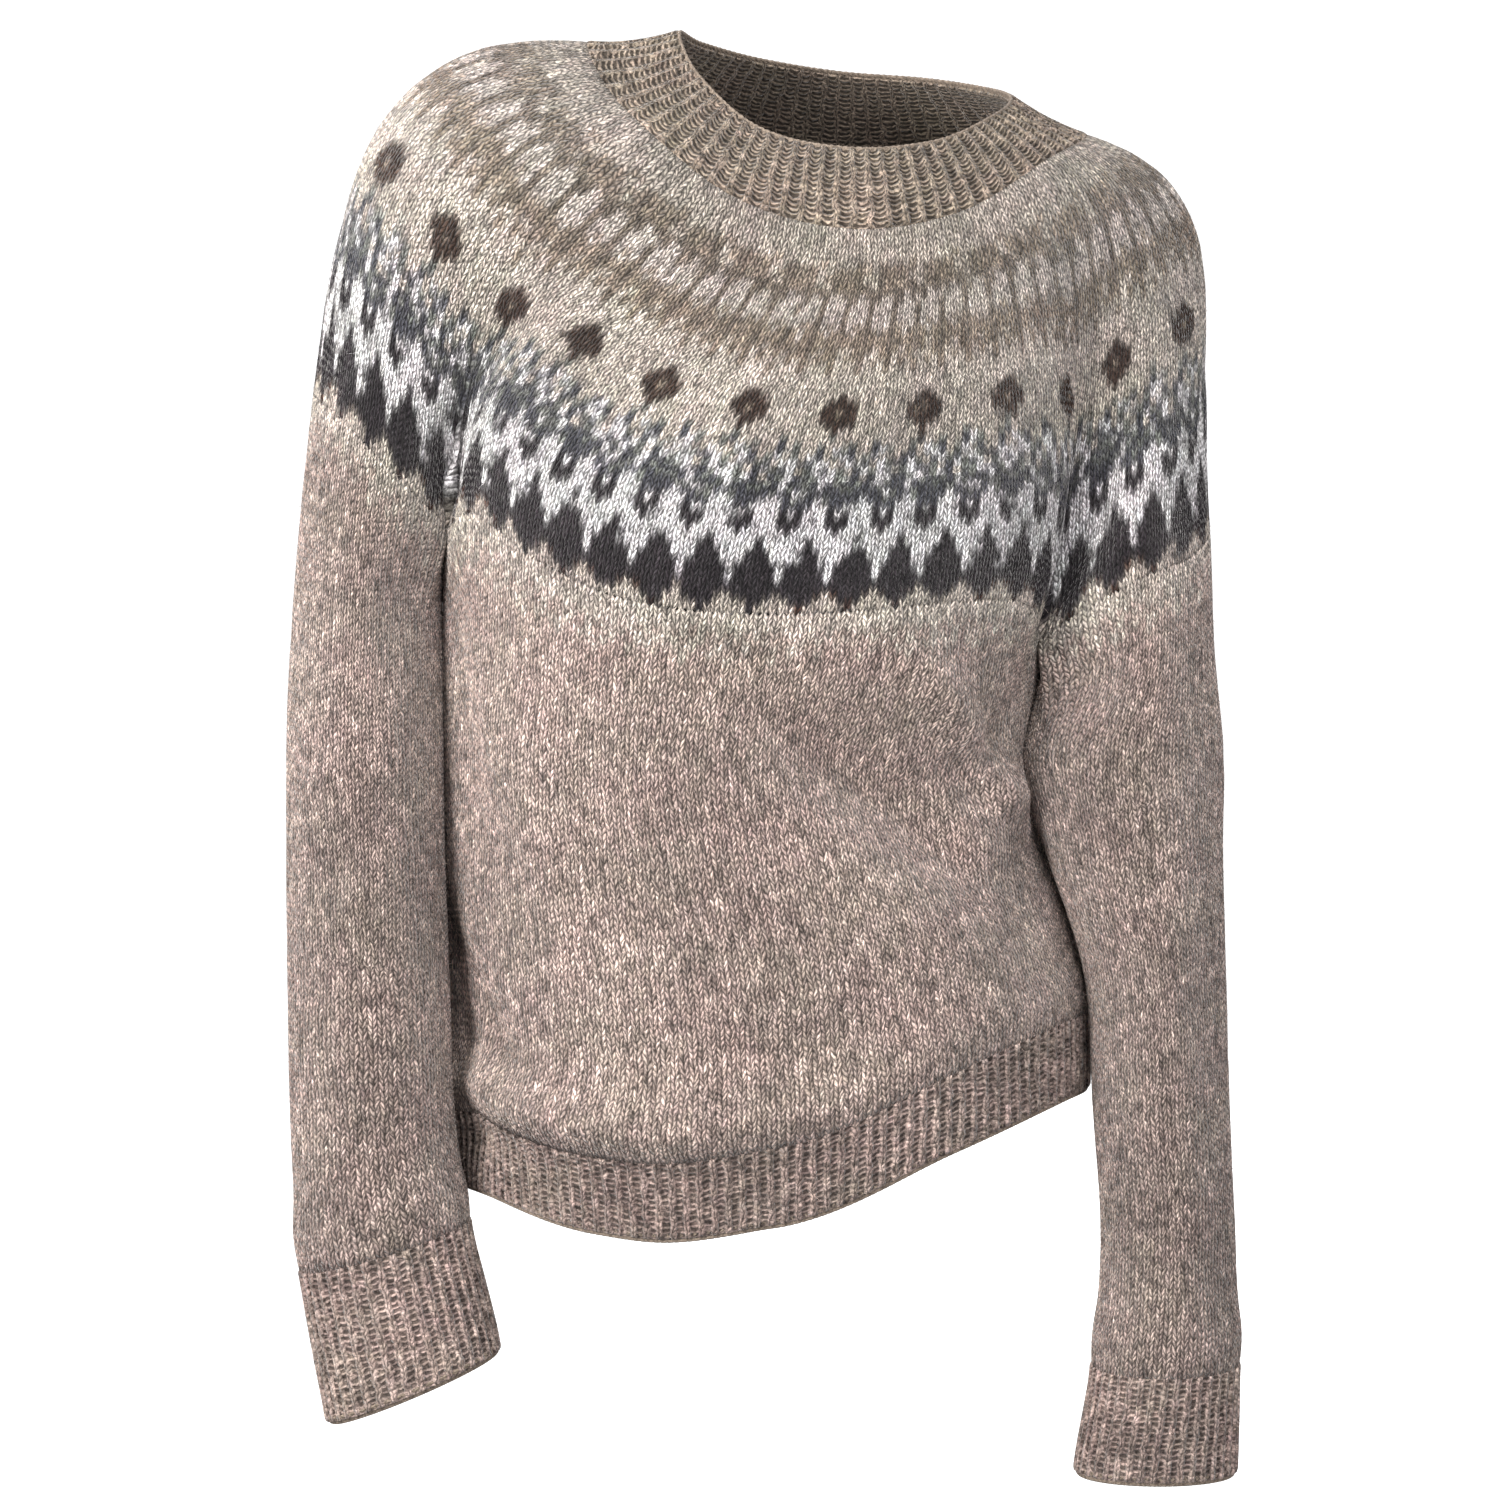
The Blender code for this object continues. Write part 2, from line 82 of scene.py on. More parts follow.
NECK_WIDTH = 8.6  # half of the neck opening, to the side and to the front
NECK_DEPTH = 7.8
NECK_TURN = 0.5  # where the neckband turns into the slope of the yoke, as a share of its depth
ARMPIT = 77.0  # angle of the armpits on the body, from the middle of the front or the back
ARM_INSIDE = 63.0  # how far the yoke's line goes on inwards past the front and back of a sleeve
HEM_HEIGHT = 3.9
BODY_RADIUS = 14.0  # mean radii, on which the folds are measured
SLEEVE_RADIUS = 4.8
SQUARENESS = 0.87  # 1 makes the body an ellipse in section, and less makes it squarer
GRAFT_FADE = 4.5  # length over which the top of a sleeve bends in towards its graft
GRAFT_SHARE = 0.25  # share of a sleeve's top line that the graft draws in, at each armpit
CREASE = 3.0  # how far the yoke keeps the direction of the cloth below it
CREASE_FADE = 2.0  # height over which the creases of the yoke end above its lower edge
START = 0.02  # share of a tube's length that gives its direction at the top
SOFT_STEPS = 8 * 144  # rounds of softening of the yoke over the armpits


# ---------------------------------------------------------------- shape of the worn garment


class Table:
    """Rows with named columns; at() gives a smooth value of a column between the rows."""

    def __init__(self, names, rows, period=None):
        rows = np.array(rows, float)
        if period:
            before, after = rows[-2:].copy(), rows[:2].copy()
            before[:, 0] -= period
            after[:, 0] += period
            rows = np.vstack([before, rows, after])
        self.names, self.rows, self.period = names.split(), rows, period

    def at(self, key, name):
        x, y = self.rows[:, 0], self.rows[:, self.names.index(name)]
        key = np.asarray(key, float)
        if self.period:
            key = (key - self.rows[2, 0]) % self.period + self.rows[2, 0]
        slope = np.gradient(y, x)
        i = np.clip(np.searchsorted(x, key, side="right") - 1, 0, len(x) - 2)
        step = x[i + 1] - x[i]
        t = np.clip((key - x[i]) / step, 0.0, 1.0)
        rise = t * t * (3 - 2 * t)
        near = t * (1 - t) ** 2 * step * slope[i]
        far = t * t * (t - 1) * step * slope[i + 1]
        return y[i] * (1 - rise) + y[i + 1] * rise + near + far


# Height of the neck edge, run outwards and drop of the neckband, slope of the yoke below it,
# and how far the cloth keeps its direction at the top and at the bottom of the yoke
NECK = Table(
    "angle edge run drop slope upper lower",
    [
        (0, -4.8, 2.4, 4.0, 70, 5.5, 8.5),
        (30, -4.4, 2.6, 3.5, 62, 5.5, 8.5),
        (60, -2.9, 3.3, 2.1, 38, 6.5, 10.0),
        (90, -1.7, 3.8, 1.9, 17, 10.0, 11.5),
        (120, -0.9, 3.7, 2.3, 34, 8.0, 10.0),
        (150, -0.2, 3.0, 3.2, 56, 5.5, 8.0),
        (180, 0.2, 2.5, 3.8, 64, 5.0, 8.0),
        (210, 0.8, 3.1, 3.2, 52, 6.0, 8.5),
        (240, 1.4, 4.0, 1.9, 20, 10.5, 10.0),
        (270, 1.6, 4.6, 0.5, -5, 13.6, 9.5),
        (300, -1.0, 4.2, 1.8, 18, 10.5, 9.5),
        (330, -3.8, 3.0, 3.4, 56, 6.5, 8.5),
    ],
    period=360.0,
)

# The body: its two sides, and its depth in front of and behind the line through the neck
BODY = Table(
    "level right_side left_side front back",
    [
        (-60, -19.8, 12.3, 11.7, 11.2),
        (-56, -20.2, 12.6, 12.0, 11.3),
        (-50, -20.6, 12.8, 12.2, 11.2),
        (-45, -20.7, 12.2, 12.0, 10.6),
        (-40, -20.8, 10.5, 11.9, 10.2),
        (-35, -20.8, 9.3, 12.1, 10.2),
        (-31, -20.8, 10.1, 12.4, 10.5),
        (-27, -20.7, 11.0, 12.5, 10.9),
        (-23, -20.6, 11.3, 12.3, 11.1),
        (-18, -20.7, 11.3, 11.9, 11.1),
    ],
)

# Height of the line between yoke and body, with the grafted underarms at 90 and 270
BODY_TOP = Table(
    "angle height",
    [
        (0, -27.6), (20, -27.4), (40, -27.1), (60, -27.5), (77, -29.4), (90, -29.8), (103, -29.2),
        (120, -26.8), (140, -25.3), (160, -24.4), (180, -23.7), (200, -22.9), (220, -22.1),
        (240, -21.9), (257, -23.4), (270, -24.0), (283, -23.8), (300, -22.9), (320, -25.0),
        (340, -26.9),
    ],
    period=360.0,
)

# Height of the lower edge of the hem, which the hip at +X lifts
HEM_EDGE = Table(
    "angle height",
    [
        (0, -57.8), (30, -54.3), (60, -52.5), (90, -52.6), (120, -52.8), (150, -53.7),
        (180, -55.2), (210, -56.6), (240, -57.5), (270, -57.6), (300, -57.3), (330, -58.4),
        (345, -58.6),
    ],
    period=360.0,
)

# The sleeves: middle, half width and half depth of each section, and its lean to the side
SLEEVES = {
    "right": Table(
        "level x y width depth lean",
        [
            (-68, -21.8, -7.4, 4.4, 2.4, 0.42),
            (-67, -22.0, -7.1, 4.4, 2.6, 0.42),
            (-60, -23.5, -6.0, 4.3, 3.5, 0.30),
            (-54, -24.1, -5.4, 4.15, 4.2, 0.12),
            (-48, -24.3, -4.8, 4.1, 4.6, 0.03),
            (-40, -24.5, -3.9, 4.0, 5.0, 0.0),
            (-32, -24.65, -2.4, 3.85, 5.5, 0.0),
            (-24, -24.45, -0.3, 3.65, 6.0, 0.0),
            (-16, -23.55, 0.0, 3.65, 6.1, 0.0),
            (-12, -22.95, 0.0, 3.7, 6.1, 0.0),
        ],
    ),
    "left": Table(
        "level x y width depth lean",
        [
            (-74, 15.6, -7.9, 4.15, 2.5, 0.0),
            (-71.3, 15.75, -7.6, 4.1, 2.6, 0.0),
            (-66, 16.3, -6.7, 3.7, 3.4, 0.02),
            (-60, 16.45, -6.0, 3.4, 4.2, 0.0),
            (-53, 16.1, -5.3, 3.45, 4.6, 0.0),
            (-46, 15.75, -4.7, 3.6, 4.8, 0.0),
            (-40, 14.75, -4.2, 4.45, 4.8, 0.0),
            (-35, 14.3, -3.2, 5.0, 5.1, 0.0),
            (-30, 15.1, -1.2, 3.9, 5.9, 0.0),
            (-24, 15.1, 0.0, 3.75, 6.1, 0.0),
            (-18, 14.45, 0.0, 3.8, 6.1, 0.0),
        ],
    ),
}
# Height of the line between yoke and sleeve, from armpit to armpit
SLEEVE_TOP = {
    "right": Table(
        "angle height",
        [
            (117, -23.4), (150, -21.3), (180, -19.6), (210, -18.2), (240, -17.2), (270, -16.9),
            (300, -17.2), (330, -18.0), (360, -19.6), (390, -21.6), (423, -23.8),
        ],
    ),
    "left": Table(
        "angle height",
        [
            (-63, -29.4), (-30, -27.3), (0, -26.0), (30, -25.3), (60, -24.4), (90, -23.7),
            (120, -23.9), (150, -24.7), (180, -25.8), (210, -27.3), (243, -29.2),
        ],
    ),
}
# Levels at which the cuffs start and end
CUFF_TOP = {"right": -60.0, "left": -66.0}
CUFF_END = {"right": -67.0, "left": -71.3}

# Soft folds, each a line on its tube: angle and level of one end, angle and level of the other,
# width and height, which is negative for a trough
FOLDS = {
    "body": [
        (72, -30.0, 52, -36.5, 1.7, -0.75),
        (70, -34.0, 46, -39.5, 1.9, 0.40),
        (84, -38.5, 58, -42.0, 1.8, -0.45),
        (290, -27.5, 300, -36.0, 1.9, -0.40),
        (284, -45.0, 296, -54.0, 2.0, -0.60),
        (318, -50.5, 350, -53.0, 2.0, 0.22),
        (20, -46.0, 48, -50.5, 2.1, -0.20),
        (110, -32.0, 132, -37.5, 1.8, -0.60),
        (100, -37.5, 140, -41.0, 2.0, -0.45),
        (250, -28.0, 236, -37.0, 1.9, -0.45),
        (215, -44.0, 160, -46.5, 2.1, -0.30),
        (225, -50.0, 190, -52.0, 2.0, 0.25),
    ],
    "right": [
        (35, -27.0, 10, -33.0, 1.5, -0.30),
        (20, -38.0, 330, -41.5, 1.7, -0.35),
        (15, -44.0, 320, -46.0, 1.6, -0.25),
        (170, -36.0, 215, -40.0, 1.7, -0.40),
        (165, -42.5, 225, -45.0, 1.6, -0.35),
        (330, -52.5, 20, -55.0, 1.6, -0.25),
    ],
    "left": [
        (-38, -31.0, -5, -35.5, 1.5, -0.45),
        (-50, -37.5, 0, -41.0, 1.6, -0.35),
        (-30, -44.5, 30, -46.5, 1.7, -0.25),
        (200, -37.0, 150, -41.0, 1.7, -0.45),
        (205, -43.5, 140, -46.0, 1.6, -0.35),
        (-20, -58.0, 30, -60.5, 1.6, -0.22),
    ],
}

# Finer swells and creases between the larger folds, in the same columns; their ends fade out
SOFT_FOLDS = {
    "body": [
        (24, -28.5, 68, -38.5, 1.4, 1.30),
        (-4, -30.5, 54, -43.0, 2.1, -1.75),
        (46, -32.5, 62, -35.0, 1.0, -0.35),
        (72, -30.0, 54, -36.0, 1.7, 0.50),
        (84, -31.0, 86, -45.5, 1.5, 0.34),
        (294, -45.5, 310, -51.0, 1.2, -0.75),
        (318, -30.5, 326, -47.0, 1.7, 0.35),
        (334, -32.0, 345, -45.0, 1.7, -0.28),
        (20, -30.0, 345, -38.0, 1.6, 0.16),
        (60, -33.5, 34, -36.5, 0.9, -0.28),
        (80, -35.5, 50, -37.8, 0.9, 0.30),
        (66, -41.0, 40, -43.5, 1.0, 0.25),
        (74, -44.5, 44, -47.0, 1.1, -0.22),
        (300, -30.0, 318, -36.5, 1.2, 0.22),
        (310, -29.0, 330, -33.0, 1.0, -0.18),
        (296, -38.0, 318, -41.5, 1.3, -0.18),
        (330, -44.0, 10, -46.5, 1.5, 0.16),
        (340, -48.5, 25, -50.0, 1.3, -0.16),
        (118, -35.0, 150, -38.5, 1.0, 0.25),
        (112, -41.0, 150, -43.5, 1.0, -0.22),
        (240, -33.0, 215, -38.5, 1.1, 0.22),
        (250, -41.5, 210, -43.0, 1.2, -0.20),
        (170, -48.5, 205, -49.5, 1.3, -0.16),
    ],
    "right": [
        (80, -26.0, 78, -37.5, 1.5, 0.26),
        (350, -35.0, 315, -37.5, 0.9, 0.20),
        (25, -40.0, 345, -43.0, 0.9, 0.18),
        (200, -38.5, 235, -41.0, 0.9, 0.20),
        (340, -56.5, 30, -58.2, 0.9, 0.16),
        (200, -56.0, 160, -58.0, 0.9, 0.16),
    ],
    "left": [
        (-72, -31.0, -74, -40.0, 1.7, 0.42),
        (-20, -33.5, 15, -38.0, 0.9, 0.22),
        (-40, -39.5, 5, -43.0, 0.9, 0.20),
        (195, -39.5, 150, -42.5, 0.9, 0.20),
        (-30, -62.0, 20, -64.2, 0.9, 0.18),
        (205, -61.5, 155, -63.5, 0.9, 0.16),
    ],
}
# Creases of the yoke: shares of the way round and down of both ends, then width and height
YOKE_CREASES = (
    (0.288, 1.00, 0.318, 0.66, 1.1, -0.60),
    (0.310, 0.98, 0.345, 0.74, 1.3, 0.25),
    (0.000, 1.00, 0.012, 0.55, 1.2, -0.50),
    (0.975, 0.98, 0.985, 0.66, 1.4, 0.22),
    (0.500, 1.00, 0.486, 0.68, 1.2, -0.45),
    (0.788, 1.00, 0.802, 0.64, 1.2, -0.45),
    (0.060, 0.62, 0.110, 0.86, 1.8, -0.16),
    (0.400, 0.30, 0.385, 0.62, 2.0, -0.20),
    (0.895, 0.34, 0.905, 0.66, 2.0, -0.20),
    (0.640, 0.20, 0.655, 0.50, 2.2, -0.18),
)
# The body blouses over its rib: how far, how high above the rib and over what height
BLOUSE = 1.35
BLOUSE_LEVEL = 1.5
BLOUSE_HEIGHT = 1.35
BLOUSE_ANGLE = -33.0  # where it is fullest, and how far round it spreads
BLOUSE_SPREAD = 35.0
BLOUSE_LEAST = 0.22  # its share on the other side
# The hollow above it: its depth, as a share of the blouse, how much higher it is, and how much wider
TUCK = 0.30
TUCK_RISE = 2.8
TUCK_WIDTH = 1.3
CUFF_BLOUSE = 0.16
FOLD_END = 0.1  # where a finer fold ends, as a share of half a wave


def unit(v):
    return v / np.maximum(np.linalg.norm(v, axis=-1, keepdims=True), 1e-9)


def turn(angle, start, full=360.0):
    """The shorter way round from one angle to another."""
    return (angle - start + full / 2) % full - full / 2


def by_line(across, down, run, fall):
    """How far along a line on the cloth a place lies, from 0 to 1, and how far away from it."""
    along = np.clip((across * run + down * fall) / (run**2 + fall**2), 0.0, 1.0)
    return along, np.hypot(across - along * run, down - along * fall)


def fold_height(name, angle, level, radius):
    """Sum of the folds of a tube at an angle and a level, in centimetres outwards."""
    total = np.zeros(np.broadcast(angle, level).shape)
    for soft, folds in ((False, FOLDS[name]), (True, SOFT_FOLDS[name])):
        for angle1, level1, angle2, level2, width, height in folds:
            across = np.radians(turn(angle, angle1)) * radius
            run = np.radians(turn(angle2, angle1)) * radius
            along, away = by_line(across, level - level1, run, level2 - level1)
            share = np.sin(np.pi * (FOLD_END + (1 - 2 * FOLD_END) * along)) if soft else 1.0
            total = total + height * share * np.exp(-((away / width) ** 2))
    return total


def blouse(angle, level):
    """Swell of the body just above its rib, fullest on the right of the front."""
    above = level - HEM_EDGE.at(angle, "height") - HEM_HEIGHT
    spread = np.exp(-((turn(angle, BLOUSE_ANGLE) / BLOUSE_SPREAD) ** 2))
    share = BLOUSE_LEAST + (1 - BLOUSE_LEAST) * spread
    swell = np.exp(-(((above - BLOUSE_LEVEL) / BLOUSE_HEIGHT) ** 2))
    tuck = np.exp(-(((above - BLOUSE_LEVEL - TUCK_RISE) / (TUCK_WIDTH * BLOUSE_HEIGHT)) ** 2))
    return BLOUSE * share * (swell - TUCK * tuck)


def body_point(angle, level):
    """A point of the body's outer surface."""
    angle, level = np.broadcast_arrays(np.asarray(angle, float), np.asarray(level, float))
    right, left = BODY.at(level, "right_side"), BODY.at(level, "left_side")
    s, c = np.sin(np.radians(angle)), np.cos(np.radians(angle))
    half = (left - right) / 2
    depth = np.where(c > 0, BODY.at(level, "front"), BODY.at(level, "back"))
    x = (left + right) / 2 + half * np.sign(s) * np.abs(s) ** SQUARENESS
    y = -depth * np.sign(c) * np.abs(c) ** SQUARENESS
    out = unit(np.stack([s / half, -c / depth, np.zeros_like(s)], -1))
    lift = fold_height("body", angle, level, BODY_RADIUS) + blouse(angle, level)
    return np.stack([x, y, level], -1) + out * lift[..., None]


def sleeve_point(side, angle, level):
    """A point of a sleeve's outer surface, before its top bends in towards the graft."""
    table = SLEEVES[side]
    angle, level = np.broadcast_arrays(np.asarray(angle, float), np.asarray(level, float))
    s, c = np.sin(np.radians(angle)), np.cos(np.radians(angle))
    width, depth = table.at(level, "width"), table.at(level, "depth")
    lift = fold_height(side, angle, level, SLEEVE_RADIUS)
    above = level - CUFF_TOP[side] - BLOUSE_LEVEL
    lift = lift + CUFF_BLOUSE * np.exp(-((above / BLOUSE_HEIGHT) ** 2))
    x = s * (width + lift)
    y = -c * (depth + lift)
    middle = np.stack([table.at(level, "x"), table.at(level, "y"), level], -1)
    return middle + np.stack([x, y, x * table.at(level, "lean")], -1)


def even_angles(start, end, count, point):
    """Angles that split a line on a surface into equal lengths."""
    fine = np.linspace(start, end, 400)
    length = np.linalg.norm(np.diff(point(fine), axis=0), axis=1)
    walked = np.concatenate([[0.0], np.cumsum(length)])
    return np.interp(np.linspace(0.0, walked[-1], count + 1), walked, fine)


def body_top_point(angle):
    return body_point(angle, BODY_TOP.at(angle, "height"))


def armpit_angles(middle):
    """Angles of the stitches from armpit to armpit, over the front (0) or the back (180)."""
    count = FRONT_STITCHES * POINTS_PER_STITCH
    return even_angles(middle - ARMPIT, middle + ARMPIT, count, body_top_point)


def graft_angles(side):
    """Angles of the underarm graft on the body, in the direction of rising angles."""
    middle = 90.0 if side == "left" else 270.0
    reach = 90.0 - ARMPIT
    return np.linspace(middle - reach, middle + reach, UNDERARM_STITCHES * POINTS_PER_STITCH + 1)


def sleeve_seam(side):
    """Angles and points of the line between yoke and sleeve, armpit to armpit."""
    count = SLEEVE_STITCHES * POINTS_PER_STITCH
    start = -ARM_INSIDE if side == "left" else 180.0 - ARM_INSIDE
    angles = np.linspace(start, start + 180.0 + 2 * ARM_INSIDE, count + 1)
    points = sleeve_point(side, angles, SLEEVE_TOP[side].at(angles, "height"))
    graft = body_top_point(graft_angles(side))
    t = np.linspace(0.0, 1.0, count + 1)
    near = np.clip(1 - t / GRAFT_SHARE, 0.0, 1.0) ** 2
    far = np.clip(1 - (1 - t) / GRAFT_SHARE, 0.0, 1.0) ** 2
    points = points + near[:, None] * (graft[0] - points[0])
    return angles, points + far[:, None] * (graft[-1] - points[-1])


def sleeve_ring(side):
    """Angles and points of the closed top ring of a sleeve: yoke line, then underarm graft."""
    angles, points = sleeve_seam(side)
    count = UNDERARM_STITCHES * POINTS_PER_STITCH
    inside = np.linspace(angles[-1], angles[0] + 360.0, count + 1)[1:-1]
    graft = body_top_point(graft_angles(side))[::-1][1:-1]
    return np.concatenate([angles, inside]), np.vstack([points, graft])


def sleeve_columns(side, share):
    """Points of a sleeve at shares of its length, from its top ring (0) to its cuff (1)."""
    angles, top = sleeve_ring(side)
    start = top[:, 2]
    bend = top - sleeve_point(side, angles, start)
    level = start + (CUFF_TOP[side] - start) * share[:, None]
    fade = np.clip(1 - (start - level) / GRAFT_FADE, 0.0, 1.0)
    fade = fade * fade * (3 - 2 * fade)
    return sleeve_point(side, angles, level) + fade[..., None] * bend


def cuff_columns(side, share):
    """Points of a cuff at shares of its length, from the sleeve (0) to its edge (1)."""
    angles, _ = sleeve_ring(side)
    return sleeve_point(side, angles, CUFF_TOP[side] + (CUFF_END[side] - CUFF_TOP[side]) * share[:, None])


def body_angles():
    """Angles of the body's columns, from the right armpit round the front to the left one."""
    parts = [armpit_angles(0.0), graft_angles("left"), armpit_angles(180.0), graft_angles("right")]
    return np.concatenate([part[:-1] for part in parts])


def body_columns(angles, share):
    """Points of the body at shares of its length, from the yoke (0) to the hem's rib (1)."""
    top = BODY_TOP.at(angles, "height")
    low = HEM_EDGE.at(angles, "height") + HEM_HEIGHT
    return body_point(angles, top + (low - top) * share[:, None])


def hem_columns(angles, share):
    """Points of the hem's rib, from the body (0) to its lower edge (1)."""
    low = HEM_EDGE.at(angles, "height")
    return body_point(angles, low + HEM_HEIGHT * (1 - share[:, None]))


def neck_lines(angle):
    """Neck edge, lower edge of the neckband, and the yoke's direction there, for neck angles."""
    s, c = np.sin(np.radians(angle)), np.cos(np.radians(angle))
    edge = np.stack([NECK_WIDTH * s, -NECK_DEPTH * c, NECK.at(angle, "edge")], -1)
    out = unit(np.stack([s / NECK_WIDTH, -c / NECK_DEPTH, np.zeros_like(s)], -1))
    down = np.array([0.0, 0.0, -1.0])
    seam = edge + out * NECK.at(angle, "run")[:, None] + down * NECK.at(angle, "drop")[:, None]
    slope = np.radians(NECK.at(angle, "slope"))[:, None]
    return edge, seam, out * np.cos(slope) + down * np.sin(slope)


def yoke_edge():
    """Neck angles, points and downward directions of the yoke's lower edge."""
    columns = 2 * (FRONT_STITCHES + SLEEVE_STITCHES) * POINTS_PER_STITCH
    ring, ahead = [], []
    start = np.array([0.0, START])
    for angles, side in ((armpit_angles(0.0), "left"), (armpit_angles(180.0), "right")):
        body = body_columns(angles[:-1], start)
        sleeve = sleeve_columns(side, start)[:, : SLEEVE_STITCHES * POINTS_PER_STITCH]
        ring += [body[0], sleeve[0]]
        ahead += [body[1] - body[0], sleeve[1] - sleeve[0]]
    middle = FRONT_STITCHES * POINTS_PER_STITCH / 2
    neck = (np.arange(columns) - middle) * 360.0 / columns
    return neck, np.vstack(ring), unit(np.vstack(ahead))


def eased(ring):
    """The same ring with its sharp turns softened."""
    for _ in range(SOFT_STEPS):
        ring = (np.roll(ring, 1, axis=0) + 2 * ring + np.roll(ring, -1, axis=0)) / 4
    return ring


def yoke_columns(share):
    """Points of the yoke at shares of its depth, from the neckband (0) to the body (1)."""
    neck, low, ahead = yoke_edge()
    _, seam, start = neck_lines(neck)
    p1 = seam + start * NECK.at(neck, "upper")[:, None]
    p2 = eased(low - ahead * NECK.at(neck, "lower")[:, None])
    p3 = low - ahead * CREASE
    t = share[:, None, None]
    r = 1 - t
    return seam * r**4 + 4 * p1 * t * r**3 + 6 * p2 * t**2 * r**2 + 4 * p3 * t**3 * r + low * t**4


def neckband_columns(angles, share):
    """Points of the neckband, from the neck edge (0) to the yoke (1)."""
    edge, seam, start = neck_lines(angles)
    reach = np.linalg.norm(seam - edge, axis=1)[:, None]
    bend = seam - start * reach * NECK_TURN
    t = share[:, None, None]
    return edge * (1 - t) ** 2 + 2 * bend * t * (1 - t) + seam * t * t


class Cloth:
    """A tube of cloth: points, outward and downward directions at even steps along its columns."""

    def __init__(self, grid):
        length = np.linalg.norm(np.diff(grid, axis=0), axis=2)
        walked = np.vstack([np.zeros(grid.shape[1]), np.cumsum(length, axis=0)])
        points = np.empty_like(grid)
        for j in range(grid.shape[1]):
            at = np.linspace(0.0, walked[-1, j], len(grid))
            for axis in range(3):
                points[:, j, axis] = np.interp(at, walked[:, j], grid[:, j, axis])
        round_it = np.roll(points, -1, axis=1) - np.roll(points, 1, axis=1)
        down = np.gradient(points, axis=0)
        self.points, self.down = points, unit(down)
        self.out = unit(np.cross(down, round_it))
        self.length = float(walked[-1].mean())
        self.girth = float(np.linalg.norm(round_it, axis=2).sum(axis=1).mean() / 2)

    def at(self, field, around, along):
        """A field at shares of the way round (0 to 1) and at one share of the way down."""
        rows, columns = field.shape[:2]
        row = min(max(along, 0.0), 1.0) * (rows - 1)
        i = min(int(row), rows - 2)
        level = field[i] * (1 - row + i) + field[i + 1] * (row - i)
        column = np.asarray(around) * columns
        j = np.floor(column).astype(int)
        part = (column - j)[:, None]
        return level[j % columns] * (1 - part) + level[(j + 1) % columns] * part


def creased(cloth, creases):
    """The same cloth with soft creases, from one place to another on it."""
    rows, columns = cloth.points.shape[:2]
    around, along = np.arange(columns) / columns, np.linspace(0.0, 1.0, rows)[:, None]
    steps = np.roll(cloth.points, -1, axis=1) - cloth.points
    girth = np.linalg.norm(steps, axis=2).sum(axis=1)[:, None]
    lift = np.zeros((rows, columns))
    for around1, along1, around2, along2, width, height in creases:
        across, down = turn(around, around1, 1.0) * girth, (along - along1) * cloth.length
        run, fall = turn(around2, around1, 1.0) * girth, (along2 - along1) * cloth.length
        away = by_line(across, down, run, fall)[1]
        lift += height * np.exp(-((away / width) ** 2))
    lift *= np.clip((1.0 - along) * cloth.length / CREASE_FADE, 0.0, 1.0)
    return Cloth(cloth.points + cloth.out * lift[..., None])


# ---------------------------------------------------------------- colours of the wool

# Yarns as they look in daylight, red, green and blue from 0 to 1
YARNS = {
    "o": ("oat", "Light taupe heather of the body and sleeves", (0.668, 0.594, 0.562)),
    # The sleeves' yarn is the oat made darker, as painted shade on the sleeves
    "a": ("ash", "A little darker taupe heather of the sleeves", (0.618, 0.550, 0.520)),
    "s": ("sage", "Light grey-green heather below the neckband", (0.655, 0.615, 0.577)),
    "t": ("taupe", "Brown-grey heather of the neckband and below the peaks", (0.548, 0.492, 0.440)),
    "u": ("umber", "Pinkish brown-grey heather of the hem and cuffs", (0.575, 0.508, 0.479)),
    "k": ("bark", "Darker brown-grey of the dashes and between the peaks", (0.470, 0.425, 0.385)),
    "p": ("cream", "Light pinkish beige of the peaks", (0.740, 0.695, 0.665)),
    "b": ("beige", "Light beige ground of the diamonds", (0.740, 0.695, 0.655)),
    "n": ("brown", "Dark brown of the diamonds", (0.240, 0.185, 0.160)),
    "g": ("slate", "Grey-green of the speckled band", (0.460, 0.465, 0.445)),
    "d": ("steel", "Dark blue-grey of the speckled band", (0.270, 0.270, 0.295)),
    "w": ("white", "Off-white of the zigzags", (0.860, 0.845, 0.850)),
    "c": ("charcoal", "Charcoal of the large teeth", (0.180, 0.162, 0.175)),
    "r": ("rust", "Dark rust-brown at some tips of the teeth", (0.270, 0.185, 0.150)),
}

# The yoke, downwards: stitches in the round, and its courses as repeats of yarns
YOKE_CHART = (
    (
        204,
        """
        s s s s s s
        sstsss
        ktsskt
        kkstkk
        tkkskt
        """,
    ),
    (
        288,
        """
        ktkk
        kpkk
        kppk
        pppk
        pppk
        pppk
        ptpk
        tptk
        tttk
        tttk
        tbtk
        bttt
        btbt
        bbbt
        b b
        """,
    ),
    (
        312,
        """
        b
        bbnbbbbbbbbb
        bnnnbbbbbbbb
        nnnnnbbbbbbb
        nntnnbbbbbbb
        nnnnnbbbbbbb
        bnnnbbbbbbbb
        bbnbbbbbbbbb
        bbgbbbbbgbbb
        bgdbbgbbdbgb
        bdbwgdbbdwgb
        wdbgwdbgwbdb
        dwgbdwgdbwgd
        gwdwgbdwgdwb
        dgwdgwdbdgwd
        """,
    ),
    (
        348,
        """
        dgdwdgddwdgd
        gddwgddgwddg
        ddgddwgddgdd
        ddwddgddwgdd
        dwwwdd
        cwwwcw
        cwwwcc
        cwwwcc
        wwwwwc
        wwcwww
        wwcwww
        wcccww
        wcccww
        cccccw
        cccccw
        cccccw
        cccccc
        cccccc
        rcccrb
        bcccbb
        bbrbbb
        """,
    ),
)
FADE = "b b b bo ob boo oob ooobo "
